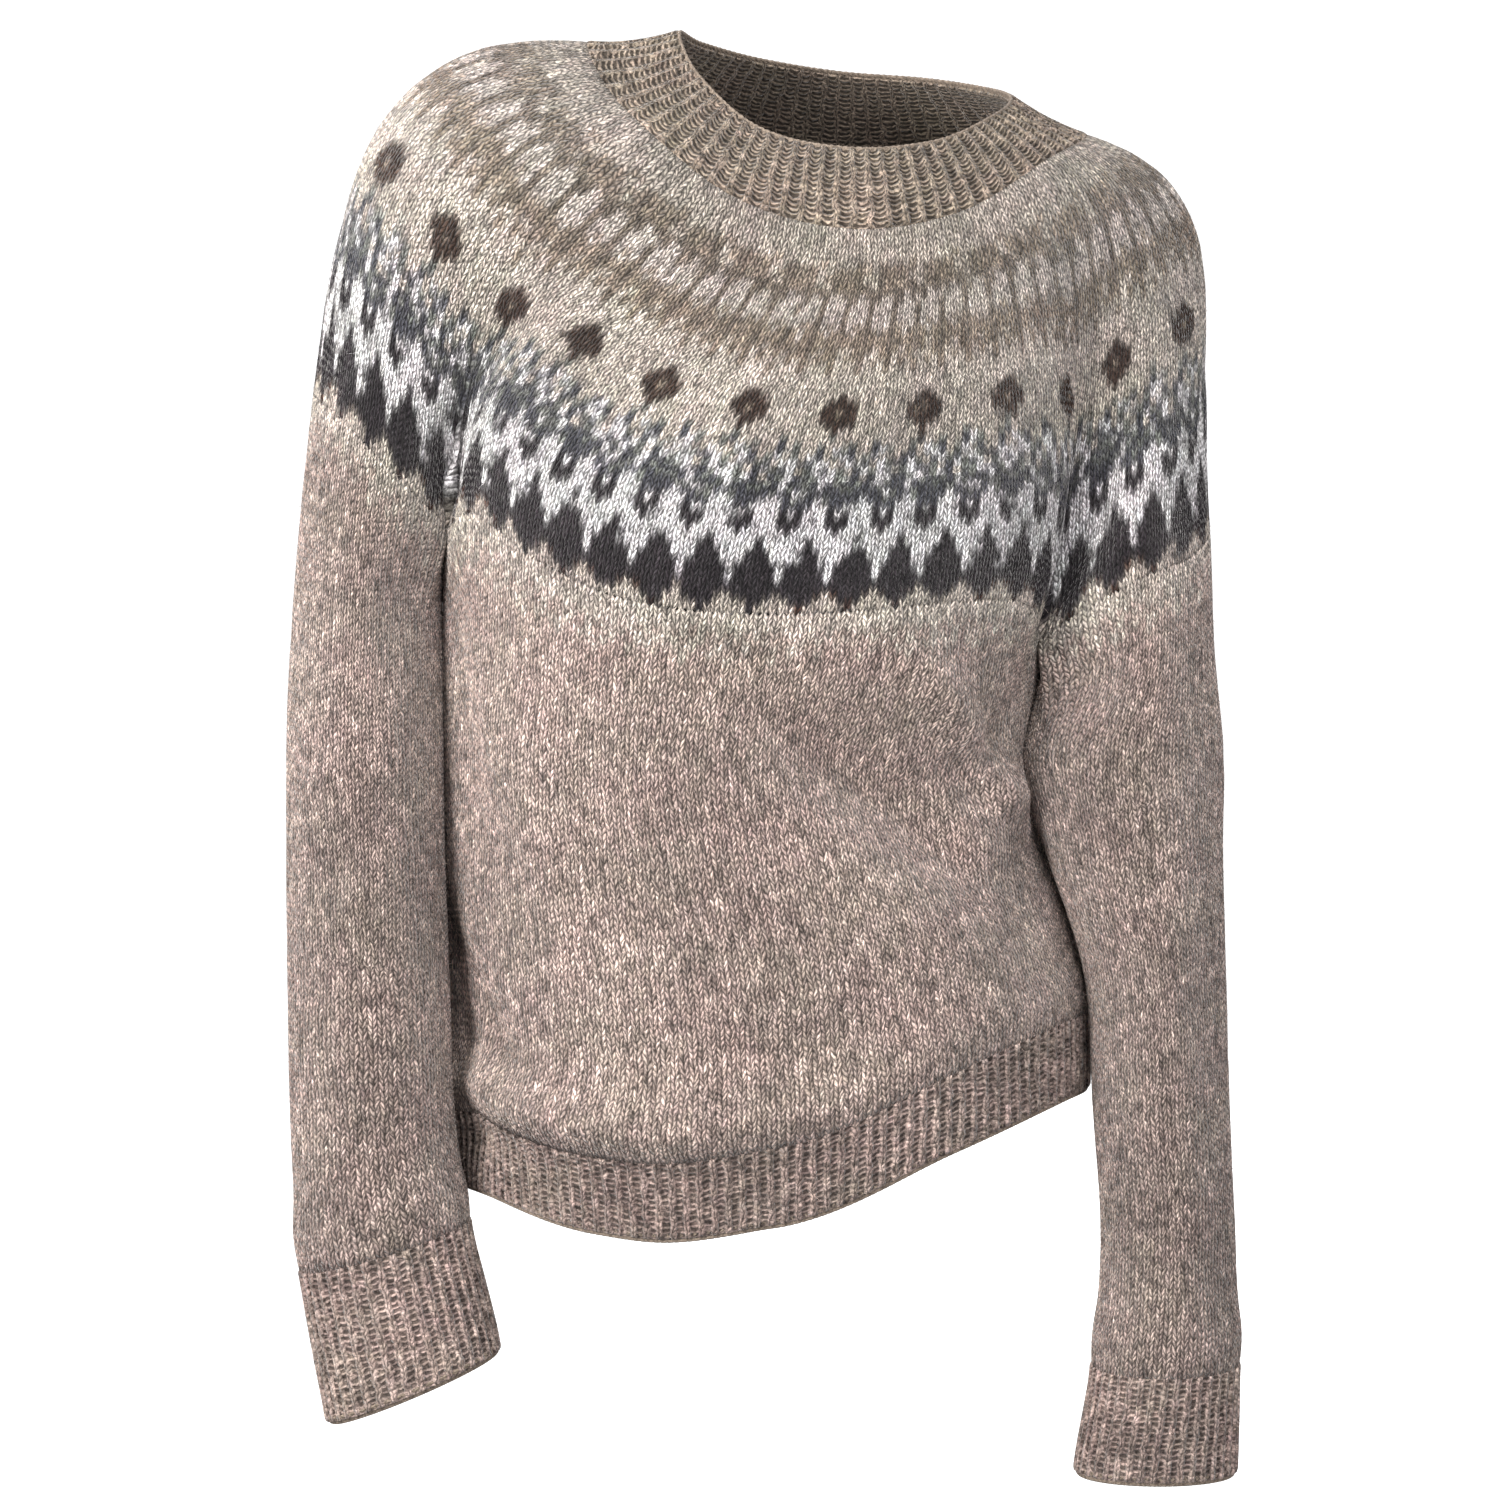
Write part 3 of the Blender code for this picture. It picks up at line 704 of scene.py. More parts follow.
PLAIN_CHART = {
    "body": ((204, FADE + "o " * (BODY_COURSES - 8)),),
    # The sleeves turn from oat into the darker yarn a, which paints shade on them
    "sleeve": ((78, FADE + "o a o a a oa " + "a " * 22), (66, "a " * 44), (54, "a " * 46)),
}
# The tips of the teeth are rust in places: the stitches between them, and two waves that mix
RUST_SPREAD = 26.0
RUST_WAVES = ((0.7, 1.0, 0.0), (0.4, 2.3, 1.0))
RAGGED = 0.06  # share of the stitches that mix with each of their neighbours
RAGGED_LEAST = 0.4
COLOUR_BLEED = 0.5  # how far neighbouring stitches mix where they touch
# Carded wool: spread of its shade in the plain, the patterned and the ribbed pieces
PLAIN_SHADE = 0.25
FIRM_SHADE = 0.2
STITCH_SHADE = 0.6  # the same for whole stitches, as a share of it
HUE_SPREAD = 0.012
SPECKS = 0.08  # share of the legs that are much darker, and of those that are lighter
DARK_SPECK = 0.55
LIGHT_SPECK = 1.24
LIGHT_NEP = 0.015


def linear(colour):
    """A colour as seen, as the shader's light values."""
    c = np.asarray(colour, float)
    return np.where(c <= 0.04045, c / 12.92, ((c + 0.055) / 1.055) ** 2.4)


def yarn_colour(letter):
    return linear(getattr(bpy.context.scene.sweater_wool, YARNS[letter][0]))


def charted(rows, stitches):
    """The yarns of a band's stitches, with rust on some of the tips only."""
    letters = np.array([[row[s % len(row)] for s in range(stitches)] for row in rows])
    palette = {letter: yarn_colour(letter) for letter in YARNS}
    colours = np.array([[palette[letter] for letter in row] for row in letters])
    for i, j in zip(*np.nonzero(letters == "r")):
        angle = 2 * np.pi * j / RUST_SPREAD
        share = 0.5 + sum(size * np.sin(rate * angle + start) for size, rate, start in RUST_WAVES)
        colours[i, j] += (1 - np.clip(share, 0.0, 1.0)) * (palette["c"] - colours[i, j])
    return colours


def ragged(colours, rng):
    """Motifs with uneven edges: some stitches take on the colour of a neighbour."""
    rows, stitches = colours.shape[:2]
    mixed = colours.copy()
    for axis, step in ((0, 1), (0, -1), (1, 1), (1, -1)):
        pick = rng.random((rows, stitches)) < RAGGED
        if axis == 0:
            pick[0 if step > 0 else -1] = False
        blend = pick[..., None] * rng.uniform(RAGGED_LEAST, 1.0, (rows, stitches, 1))
        mixed += blend * (np.roll(colours, step, axis=axis) - mixed)
    return mixed


def heather(colours, rng, strength):
    """Colours of the two legs of each stitch, unevenly mixed as carded wool is."""
    rows, stitches = colours.shape[:2]
    shape = (rows, stitches, 2, 1)
    shade = rng.normal(0.0, strength, shape)
    shade += rng.normal(0.0, strength * STITCH_SHADE, (rows, stitches, 1, 1))
    tint = rng.normal(0.0, HUE_SPREAD, (rows, stitches, 2, 3))
    legs = colours[:, :, None, :] * np.exp(shade + tint)
    pick = rng.random(shape)
    legs = np.where(pick < SPECKS, legs * DARK_SPECK, legs)
    return np.where(pick > 1 - SPECKS, legs * LIGHT_SPECK + LIGHT_NEP, legs)


# ---------------------------------------------------------------- node trees


class Flow:
    """A value in a node tree; sums and products of it add the nodes that work them out."""

    def __init__(self, nodes, socket):
        self.nodes, self.socket = nodes, socket

    def math(self, operation, *others):
        return self.nodes.math(operation, self, *others)

    def __add__(self, other):
        return self.math("ADD", other)

    def __sub__(self, other):
        return self.math("SUBTRACT", other)

    def __rsub__(self, other):
        return self.nodes.math("SUBTRACT", other, self)

    def __mul__(self, other):
        return self.math("MULTIPLY", other)

    def __truediv__(self, other):
        return self.math("DIVIDE", other)

    def __pow__(self, power):
        return self.math("POWER", power)

    def __abs__(self):
        return self.math("ABSOLUTE")

    def part(self):
        """What is left of the value after its last whole number."""
        return self.math("FRACT")

    def arch(self):
        """An arch from 0 to 1 and back over each whole step of the value."""
        return abs((self * np.pi).math("SINE"))

    def wave(self):
        """A wave from 1 to -1 and back over each whole step of the value."""
        return (self * (2 * np.pi)).math("COSINE")

    def smooth(self, low, high, to_low=0.0, to_high=1.0):
        """The value mapped softly from one range to another."""
        inputs = {0: self, 1: low, 2: high, 3: to_low, 4: to_high}
        return self.nodes.value("ShaderNodeMapRange", inputs, interpolation_type="SMOOTHSTEP")


class Nodes:
    """Adds nodes to a tree; each call sets the node and joins its inputs."""

    def __init__(self, tree):
        self.tree = tree

    def add(self, kind, inputs=None, **settings):
        node = self.tree.nodes.new(kind)
        for key, value in settings.items():
            setattr(node, key, value)
        for key, value in (inputs or {}).items():
            self.join(value, node.inputs[key])
        return node

    def join(self, value, socket):
        """Links a value to an input, or sets the input to a plain value."""
        if isinstance(value, Flow):
            self.tree.links.new(value.socket, socket)
        else:
            socket.default_value = value

    def value(self, kind, inputs=None, output=0, **settings):
        """One output of a new node."""
        return Flow(self, self.add(kind, inputs, **settings).outputs[output])

    def math(self, operation, *values):
        return self.value("ShaderNodeMath", dict(enumerate(values)), operation=operation)

    def vector(self, *parts):
        return self.value("ShaderNodeCombineXYZ", dict(enumerate(parts)))

    def sum(self, *vectors):
        return self.value("ShaderNodeVectorMath", dict(enumerate(vectors)), operation="ADD")

    def scale(self, vector, factor):
        return self.value("ShaderNodeVectorMath", {0: vector, "Scale": factor}, operation="SCALE")

    def noise(self, vector, scale, detail=2.0, roughness=0.5):
        inputs = {"Vector": vector, "Scale": scale, "Detail": detail, "Roughness": roughness}
        return self.value("ShaderNodeTexNoise", inputs)

    def named(self, name, kind="FLOAT"):
        """A value that the wall itself holds."""
        return self.value("GeometryNodeInputNamedAttribute", {"Name": name}, "Attribute", data_type=kind)

    def moved(self, geometry, offset):
        return self.value("GeometryNodeSetPosition", {"Geometry": geometry, "Offset": offset})


SOCKETS = {float: "NodeSocketFloat", int: "NodeSocketInt", type(None): "NodeSocketMaterial"}


def new_group(name, inputs):
    """A Geometry Nodes group with named inputs: sizes with their defaults, and materials without."""
    tree = bpy.data.node_groups.new(name, "GeometryNodeTree")
    tree.interface.new_socket("Geometry", in_out="INPUT", socket_type="NodeSocketGeometry")
    for label, default in inputs.items():
        socket = tree.interface.new_socket(label, in_out="INPUT", socket_type=SOCKETS[type(default)])
        if default is not None:
            socket.default_value = default
    tree.interface.new_socket("Geometry", in_out="OUTPUT", socket_type="NodeSocketGeometry")
    n = Nodes(tree)
    start = n.add("NodeGroupInput")
    return n, {socket.name: Flow(n, socket) for socket in start.outputs}


def end_group(n, geometry, wool, inside=None):
    """Real geometry in the piece's wool, with the inner wall in its own."""
    real = n.value("GeometryNodeRealizeInstances", {"Geometry": geometry})
    done = n.value("GeometryNodeSetMaterial", {"Geometry": real, "Material": wool})
    if inside is not None:
        inputs = {"Geometry": done, "Selection": n.named("inner_side", "BOOLEAN"), "Material": inside}
        done = n.value("GeometryNodeSetMaterial", inputs)
    n.add("NodeGroupOutput", {"Geometry": done})
    return n.tree


CLOTH_NOISE = 55.0
LEG_CREST = 0.62  # height of the middle of a leg over the cloth, as a share of the relief
# A rib's knit column: where it ends, the crest of its legs, and the dip between them
KNIT_EDGE = (0.14, 0.30)
LEG_MIDDLE = 0.12
LEG_WIDTH = 0.13
LEG_DIP = 0.72
# Corners of a link and of its yarn
LINK_SIDES = 9
YARN_SIDES = 5
FIBRE_BEND = 0.55  # run to the side at its tip, as a share of its length
FIBRE_TILT = 1.35  # farthest lean and turn of a fibre, in radians
FIBRE_TURN = 3.1
SHORTEST_FIBRE = 0.35  # as a share of the longest


def unevenness(n, amount):
    """Small shifts of the cloth that no hand knits away."""
    return (n.noise(n.value("GeometryNodeInputPosition"), CLOTH_NOISE) - 0.5) * amount


def stitch_legs(across):
    """How far a place is from the middle of its stitch, and from that of a leg, from 0 to 1."""
    from_middle = abs(across.part() - 0.5) * 2.0
    return from_middle, abs(from_middle - 0.5) * 2.0


def off_column(across):
    """How far a place is from the middle of the knit column of its rib, in ribs."""
    return abs((across.part() - KNIT_MIDDLE + 0.5).part() - 0.5)


def stocking_stitch_group():
    """Raises two slanting legs for each stitch of a wall."""
    sizes = {"Leg height": 0.0005, "Slant": 0.003, "Unevenness": 0.0004}
    n, given = new_group("stocking_stitch", {**sizes, "Wool": None, "Inside": None})
    from_middle, off_leg = stitch_legs(n.named("wale"))
    height = (LEG_CREST - off_leg * off_leg) * given["Leg height"]
    height = (height + unevenness(n, given["Unevenness"])) * n.named("raise")
    rise = from_middle * given["Slant"] * n.named("lean") * -1.0
    out = n.scale(n.named("out", "FLOAT_VECTOR"), height)
    up = n.scale(n.named("down", "FLOAT_VECTOR"), rise)
    return end_group(n, n.moved(given["Geometry"], n.sum(out, up)), given["Wool"], given["Inside"])


def rib_stitch_group():
    """Raises a knit column and sinks a barred purl groove for each rib of a wall."""
    sizes = {"Rib height": 0.0009, "Groove depth": 0.0009, "Bar height": 0.0004, "Unevenness": 0.0004}
    n, given = new_group("rib_stitch", {**sizes, "Wool": None, "Inside": None})
    away = off_column(n.named("wale"))
    knit = away.smooth(*KNIT_EDGE, 1.0, 0.0)
    purl = 1.0 - knit
    rib = knit * abs(away - LEG_MIDDLE).smooth(0.0, LEG_WIDTH, 1.0, LEG_DIP) * given["Rib height"]
    bar = n.named("course").wave() * purl * given["Bar height"]
    height = rib - purl * given["Groove depth"] + bar
    height = (height + unevenness(n, given["Unevenness"])) * n.named("raise")
    offset = n.scale(n.named("out", "FLOAT_VECTOR"), height)
    return end_group(n, n.moved(given["Geometry"], offset), given["Wool"], given["Inside"])


def cast_off_group():
    """Lays a chain of links along an edge line."""
    sizes = {"Links": 156, "Link length": 0.005, "Link width": 0.0026, "Yarn radius": 0.0009, "Tilt": 0.35}
    n, given = new_group("cast_off_chain", {**sizes, "Wool": None})
    line = n.value("GeometryNodeMeshToCurve", {"Mesh": given["Geometry"]})
    points = n.add("GeometryNodeCurveToPoints", {"Curve": line, "Count": given["Links"]}, mode="COUNT")
    ring = n.value("GeometryNodeCurvePrimitiveCircle", {"Resolution": LINK_SIDES, "Radius": 0.5})
    yarn = {"Resolution": YARN_SIDES, "Radius": given["Yarn radius"]}
    yarn = n.value("GeometryNodeCurvePrimitiveCircle", yarn)
    upright = n.value("GeometryNodeTransform", {"Geometry": ring, "Rotation": (0.0, np.pi / 2, 0.0)})
    size = n.vector(given["Link width"], given["Link width"], given["Link length"])
    oval = n.value("GeometryNodeTransform", {"Geometry": upright, "Scale": size})
    link = n.value("GeometryNodeCurveToMesh", {"Curve": oval, "Profile Curve": yarn})
    leant = n.value("GeometryNodeTransform", {"Geometry": link, "Rotation": n.vector(given["Tilt"])})
    placed = {key: Flow(n, points.outputs[key]) for key in ("Points", "Rotation")}
    chain = n.value("GeometryNodeInstanceOnPoints", {**placed, "Instance": leant})
    real = n.value("GeometryNodeRealizeInstances", {"Geometry": chain})
    return end_group(n, n.value("GeometryNodeSetShadeSmooth", {"Geometry": real}), given["Wool"])


def loose_fibre_group():
    """Scatters short bent fibres over the outer wall."""
    sizes = {"Fibres per square metre": 20000.0, "Longest fibre": 0.006, "Fibre radius": 0.00006}
    n, given = new_group("loose_fibres", {**sizes, "Seed": 1, "Wool": None})
    seed = {"Seed": given["Seed"]}
    outer = n.value("FunctionNodeBooleanMath", {0: n.named("inner_side", "BOOLEAN")}, operation="NOT")
    where = {"Mesh": given["Geometry"], "Selection": outer, "Density": given["Fibres per square metre"]}
    roots = n.add("GeometryNodeDistributePointsOnFaces", {**where, **seed}, distribute_method="RANDOM")
    cone = {"Vertices": 3, "Side Segments": 2, "Radius Top": 0.0, "Depth": 1.0}
    cone["Radius Bottom"] = given["Fibre radius"] / given["Longest fibre"]
    spike = n.value("GeometryNodeMeshCone", cone, fill_type="NGON")
    up = n.value("ShaderNodeSeparateXYZ", {0: n.value("GeometryNodeInputPosition")}, 2)
    bent = n.moved(spike, n.vector(up * up * FIBRE_BEND))
    least, most = (-FIBRE_TILT, -FIBRE_TILT, -FIBRE_TURN), (FIBRE_TILT, FIBRE_TILT, FIBRE_TURN)
    swing = n.value("FunctionNodeRandomValue", {0: least, 1: most, **seed}, data_type="FLOAT_VECTOR")
    upright = {"Vector": Flow(n, roots.outputs["Normal"])}
    upright = n.value("FunctionNodeAlignRotationToVector", upright, axis="Z")
    leant = n.value("FunctionNodeRotateRotation", {0: upright, 1: swing}, rotation_space="LOCAL")
    size = n.value("FunctionNodeRandomValue", {2: SHORTEST_FIBRE, 3: 1.0, **seed}, 1, data_type="FLOAT")
    size = size * given["Longest fibre"]
    placed = {"Points": Flow(n, roots.outputs["Points"]), "Instance": bent, "Rotation": leant}
    placed["Scale"] = n.vector(size, size, size)
    return end_group(n, n.value("GeometryNodeInstanceOnPoints", placed), given["Wool"])


GROUPS = {
    "stocking_stitch": stocking_stitch_group,
    "rib_stitch": rib_stitch_group,
    "cast_off_chain": cast_off_group,
    "loose_fibres": loose_fibre_group,
}


def run_group(piece, name, **values):
    """Runs a group on a piece and keeps the result as its plain mesh."""
    tree = bpy.data.node_groups.get(name) or GROUPS[name]()
    modifier = piece.modifiers.new(name, "NODES")
    modifier.node_group = tree
    for item in tree.interface.items_tree:
        key = item.name.lower().replace(" ", "_")
        if item.in_out == "INPUT" and key in values:
            modifier[item.identifier] = values.pop(key)
    if values:
        raise RuntimeError("no such inputs: " + ", ".join(values))
    piece.update_tag()
    bpy.context.view_layer.update()
    seen = piece.evaluated_get(bpy.context.evaluated_depsgraph_get())
    made = bpy.data.meshes.new_from_object(seen)
    piece.modifiers.remove(modifier)
    old, piece.data = piece.data, made
    made.name = piece.name
    bpy.data.meshes.remove(old)


# ---------------------------------------------------------------- wool materials

WOOL_ROUGHNESS = 0.95
WOOL_SPECULAR = 0.25
WOOL_SHEEN = 0.35
SHEEN_ROUGHNESS = 0.35
SHEEN_TINT = (1.0, 0.955, 0.93, 1.0)
CHAIN_SHEEN = 0.22
FIBRE_ROUGHNESS = 0.8
FIBRE_SHEEN = 0.5
# Fineness of the patterns in the wool, as features to a metre
WIDE_NOISE = 11.0
PATCH_NOISE = 30.0
SIDE_NOISE = 170.0
FALL_NOISE = 150.0
FIBRE_NOISE = 180.0
FUZZ_NOISE = 520.0
CHAIN_NOISE = 700.0
STREAKS = (5.0, 2.0)  # streaks of the fibre to a stitch and to a course
FALL_SHIFT = (0.3, 0.7, 0.1)
SIDE_WANDER = 0.75  # how far stitches and courses are put off, in stitches and courses
FALL_WANDER = 1.3
# Soft tints of the patches, pinkish at one end and greenish at the other
PATCH_ENDS = ((0.36, (1.04, 0.97, 0.985, 1.0)), (0.64, (0.975, 1.01, 0.955, 1.0)))
PATCH_MIDDLE = (0.5, (1.0, 0.99, 0.98, 1.0))
PATCH_SHARE = 0.55
# Each light and dark share goes with the low and the high end of what it follows
WIDE_SHADE = (0.3, 0.7, 0.86, 1.14)
STREAK_SHADE = (0.25, 0.75, 0.78, 1.26)
FUZZ_SHADE = (0.30, 0.70, 0.56, 1.58)
CHAIN_SHADE = (0.3, 0.7, 0.55, 1.35)
# The fibres are lightened by up to 1.8 times, a painted sheen
FIBRE_PAINTED_SHEEN = (0.3, 0.7, 1.0, 1.8)
# The wool's colour is darkened in the gaps between the loops as painted shade, and lightened on the crests
# as painted light
GAP_ENDS = (0.05, 0.85)  # the relief at which the gaps and the crests have their full shade
CREST_PAINTED_LIGHT = 1.16
STREAK_RELIEF = 0.35
FUZZ_RELIEF = 0.6
WOOL_RELIEF = 0.0011
CHAIN_RELIEF = 0.0005
CHAIN_BUMP = 0.8
# Detail and roughness of the patterns
FIBRE_GRAIN = (2.0, 0.6)
PATCH_GRAIN = (3.0, 0.55)
# A stitch: how far its sides slip up, how full it is along and across, and its lowest share
LEG_SLIP = 0.25
LEG_SWELL = 0.8
LEG_ROUND = 2.2
LEG_LEAST = 0.15
PURL_LEAST = 0.45
# The same of a rib's knit column, its fade into the groove, and how its purl bars sag and end
RIB_SLIP = 0.6
RIB_SWELL = 0.7
RIB_ROUND = 2.4
RIB_DIP = 0.75
RIB_PULL = 0.6
RIB_LEAST = 0.45
COLUMN_EDGE = (0.8, 1.1)
BAR_SAG = 2.5
BAR_ENDS = (-0.6, 0.9)


def new_material(name, roughness, sheen):
    material = bpy.data.materials.new(name)
    material.use_nodes = True
    shader = material.node_tree.nodes["Principled BSDF"]
    shader.inputs["Roughness"].default_value = roughness
    shader.inputs["Specular IOR Level"].default_value = WOOL_SPECULAR
    shader.inputs["Sheen Weight"].default_value = sheen
    shader.inputs["Sheen Roughness"].default_value = SHEEN_ROUGHNESS
    shader.inputs["Sheen Tint"].default_value = SHEEN_TINT
    n = Nodes(material.node_tree)
    return n, n.value("ShaderNodeTexCoord", output="Object"), shader.inputs


def finish_wool(n, shader, colour, shade, relief, depth, strength=1.0):
    """Joins a shaded colour and a relief to the shader."""
    n.join(n.scale(colour, shade), shader["Base Color"])
    bump = {"Strength": strength, "Distance": depth, "Height": relief}
    n.join(n.value("ShaderNodeBump", bump), shader["Normal"])


def knitted_place(n, place):
    """Stitch and course coordinates, put off here and there as hand knitting is."""
    uv = n.value("ShaderNodeUVMap", uv_map="stitches")
    parts = n.add("ShaderNodeSeparateXYZ", {0: uv}).outputs
    side = n.noise(place, SIDE_NOISE) - 0.5
    fall = n.noise(n.sum(place, FALL_SHIFT), FALL_NOISE) - 0.5
    return Flow(n, parts[0]) + side * SIDE_WANDER, Flow(n, parts[1]) + fall * FALL_WANDER


def leg_height(across, down):
    """Height of a stocking stitch: two rounded legs, deepest where the next loop pulls through."""
    from_middle, off_leg = stitch_legs(across)
    pull = (down + from_middle * LEG_SLIP).arch() ** LEG_SWELL
    return (1.0 - off_leg**LEG_ROUND) * (pull * (1 - LEG_LEAST) + LEG_LEAST)


def purl_height(across, down):
    """Height of the wrong side of the knitting: rows of purl bumps."""
    return down.arch() * (across.arch() * (1 - PURL_LEAST) + PURL_LEAST)


def rib_profile(knit_width, bar_height):
    """Height of a rib: a knit column of two legs, then a groove crossed by purl bars."""

    def height(across, down):
        away = off_column(across)
        knit = away.smooth(*[knit_width * edge for edge in COLUMN_EDGE], 1.0, 0.0)
        off_leg = abs(away / (knit_width / 2) - 1.0)
        pull = (down + away * (RIB_SLIP / knit_width)).arch() ** RIB_SWELL
        column = (1.0 - off_leg**RIB_ROUND * RIB_DIP) * (pull * RIB_PULL + RIB_LEAST)
        sag = (0.5 - away) ** 2.0 * BAR_SAG
        bar = (down + sag).wave().smooth(*BAR_ENDS, 0.0, bar_height)
        return knit * column + (1.0 - knit) * bar

    return height


def wool_material(name, height_of, gap_painted_shade):
    """Heather wool: yarn colours, soft tints, fibre streaks, painted shade in the gaps between the loops
    and painted light on their crests.
    """
    n, place, shader = new_material(name, WOOL_ROUGHNESS, WOOL_SHEEN)
    across, down = knitted_place(n, place)
    height = height_of(across, down)
    streak = n.noise(n.vector(across * STREAKS[0], down * STREAKS[1]), 1.0, *FIBRE_GRAIN)
    fuzz = n.noise(place, FUZZ_NOISE, *FIBRE_GRAIN)
    ramp = n.add("ShaderNodeValToRGB", {0: n.noise(place, PATCH_NOISE, *PATCH_GRAIN)})
    points = ramp.color_ramp.elements
    for point, (position, colour) in zip(points, PATCH_ENDS):
        point.position, point.color = position, colour
    points.new(PATCH_MIDDLE[0]).color = PATCH_MIDDLE[1]
    yarn = n.value("ShaderNodeAttribute", output="Color", attribute_name="yarn")
    tints = {0: PATCH_SHARE, 6: yarn, 7: Flow(n, ramp.outputs[0])}
    mix = n.value("ShaderNodeMix", tints, 2, data_type="RGBA", blend_type="MULTIPLY")
    # Random tone of the wool, times painted shade in the gaps and painted light on the crests
    shade = streak.smooth(*STREAK_SHADE) * n.noise(place, WIDE_NOISE).smooth(*WIDE_SHADE)
    shade = shade * fuzz.smooth(*FUZZ_SHADE) * height.smooth(*GAP_ENDS, gap_painted_shade, CREST_PAINTED_LIGHT)
    relief = height + streak * STREAK_RELIEF + fuzz * FUZZ_RELIEF
    finish_wool(n, shader, mix, shade, relief, WOOL_RELIEF)


def cast_off_material(name):
    """The yarn of the cast-off edges."""
    n, place, shader = new_material(name, WOOL_ROUGHNESS, CHAIN_SHEEN)
    fuzz = n.noise(place, CHAIN_NOISE, *FIBRE_GRAIN)
    yarn = n.value("ShaderNodeRGB")
    yarn.socket.default_value = (*yarn_colour("t"), 1.0)
    finish_wool(n, shader, yarn, fuzz.smooth(*CHAIN_SHADE), fuzz, CHAIN_RELIEF, CHAIN_BUMP)


def fibre_material(name):
    """Single fibres that stand off the yarn, made lighter than it as a painted sheen."""
    n, place, shader = new_material(name, FIBRE_ROUGHNESS, FIBRE_SHEEN)
    yarn = n.value("ShaderNodeAttribute", output="Color", attribute_name="yarn")
    shade = n.noise(place, FIBRE_NOISE, 1.0).smooth(*FIBRE_PAINTED_SHEEN)
    n.join(n.scale(yarn, shade), shader["Base Color"])


# How each wool is made, from its relief and the painted shade of its gaps
WOOLS = {
    "wool_stranded": (wool_material, leg_height, 0.30),
    "wool_heather": (wool_material, leg_height, 0.30),
    "wool_stretched_rib": (wool_material, rib_profile(0.18, 0.80), 0.26),
    "wool_relaxed_rib": (wool_material, rib_profile(0.31, 0.66), 0.34),
    "wool_wrong_side": (wool_material, purl_height, 0.35),
    "wool_cast_off": (cast_off_material,),
    "wool_fibre": (fibre_material,),
}


def material_of(name):
    """The wool materials, each made when it is first asked for."""
    if name not in bpy.data.materials:
        make, *how = WOOLS[name]
        make(name, *how)
    return bpy.data.materials[name]


# ---------------------------------------------------------------- knitting a tube

SEAM_LIFT = 0.4  # relief of the stitches at a seam, and of the ribs at their ends
RIB_END_LIFT = 0.6
# The chain of a cast-off edge, in centimetres and in shares of the girth or of the cloth
CHAIN_POINTS = 240
CHAIN_INSET = 0.05
CHAIN_YARN = 0.085
LINK_OVERLAP = 2.1
LINK_WIDTH = 1.15
LINK_TILT = 0.3


def gauge():
    return bpy.context.scene.sweater_gauge


class Ring:
    """A round of points: shares of the way round and down, stitches and course, and its wall."""

    def __init__(self, first, around, along, wale, course, inner=False, lean=0.0, lift=1.0):
        self.first, self.around, self.along = first, around, along
        self.wale, self.course = wale, course
        self.inner, self.lean, self.lift = inner, lean, lift


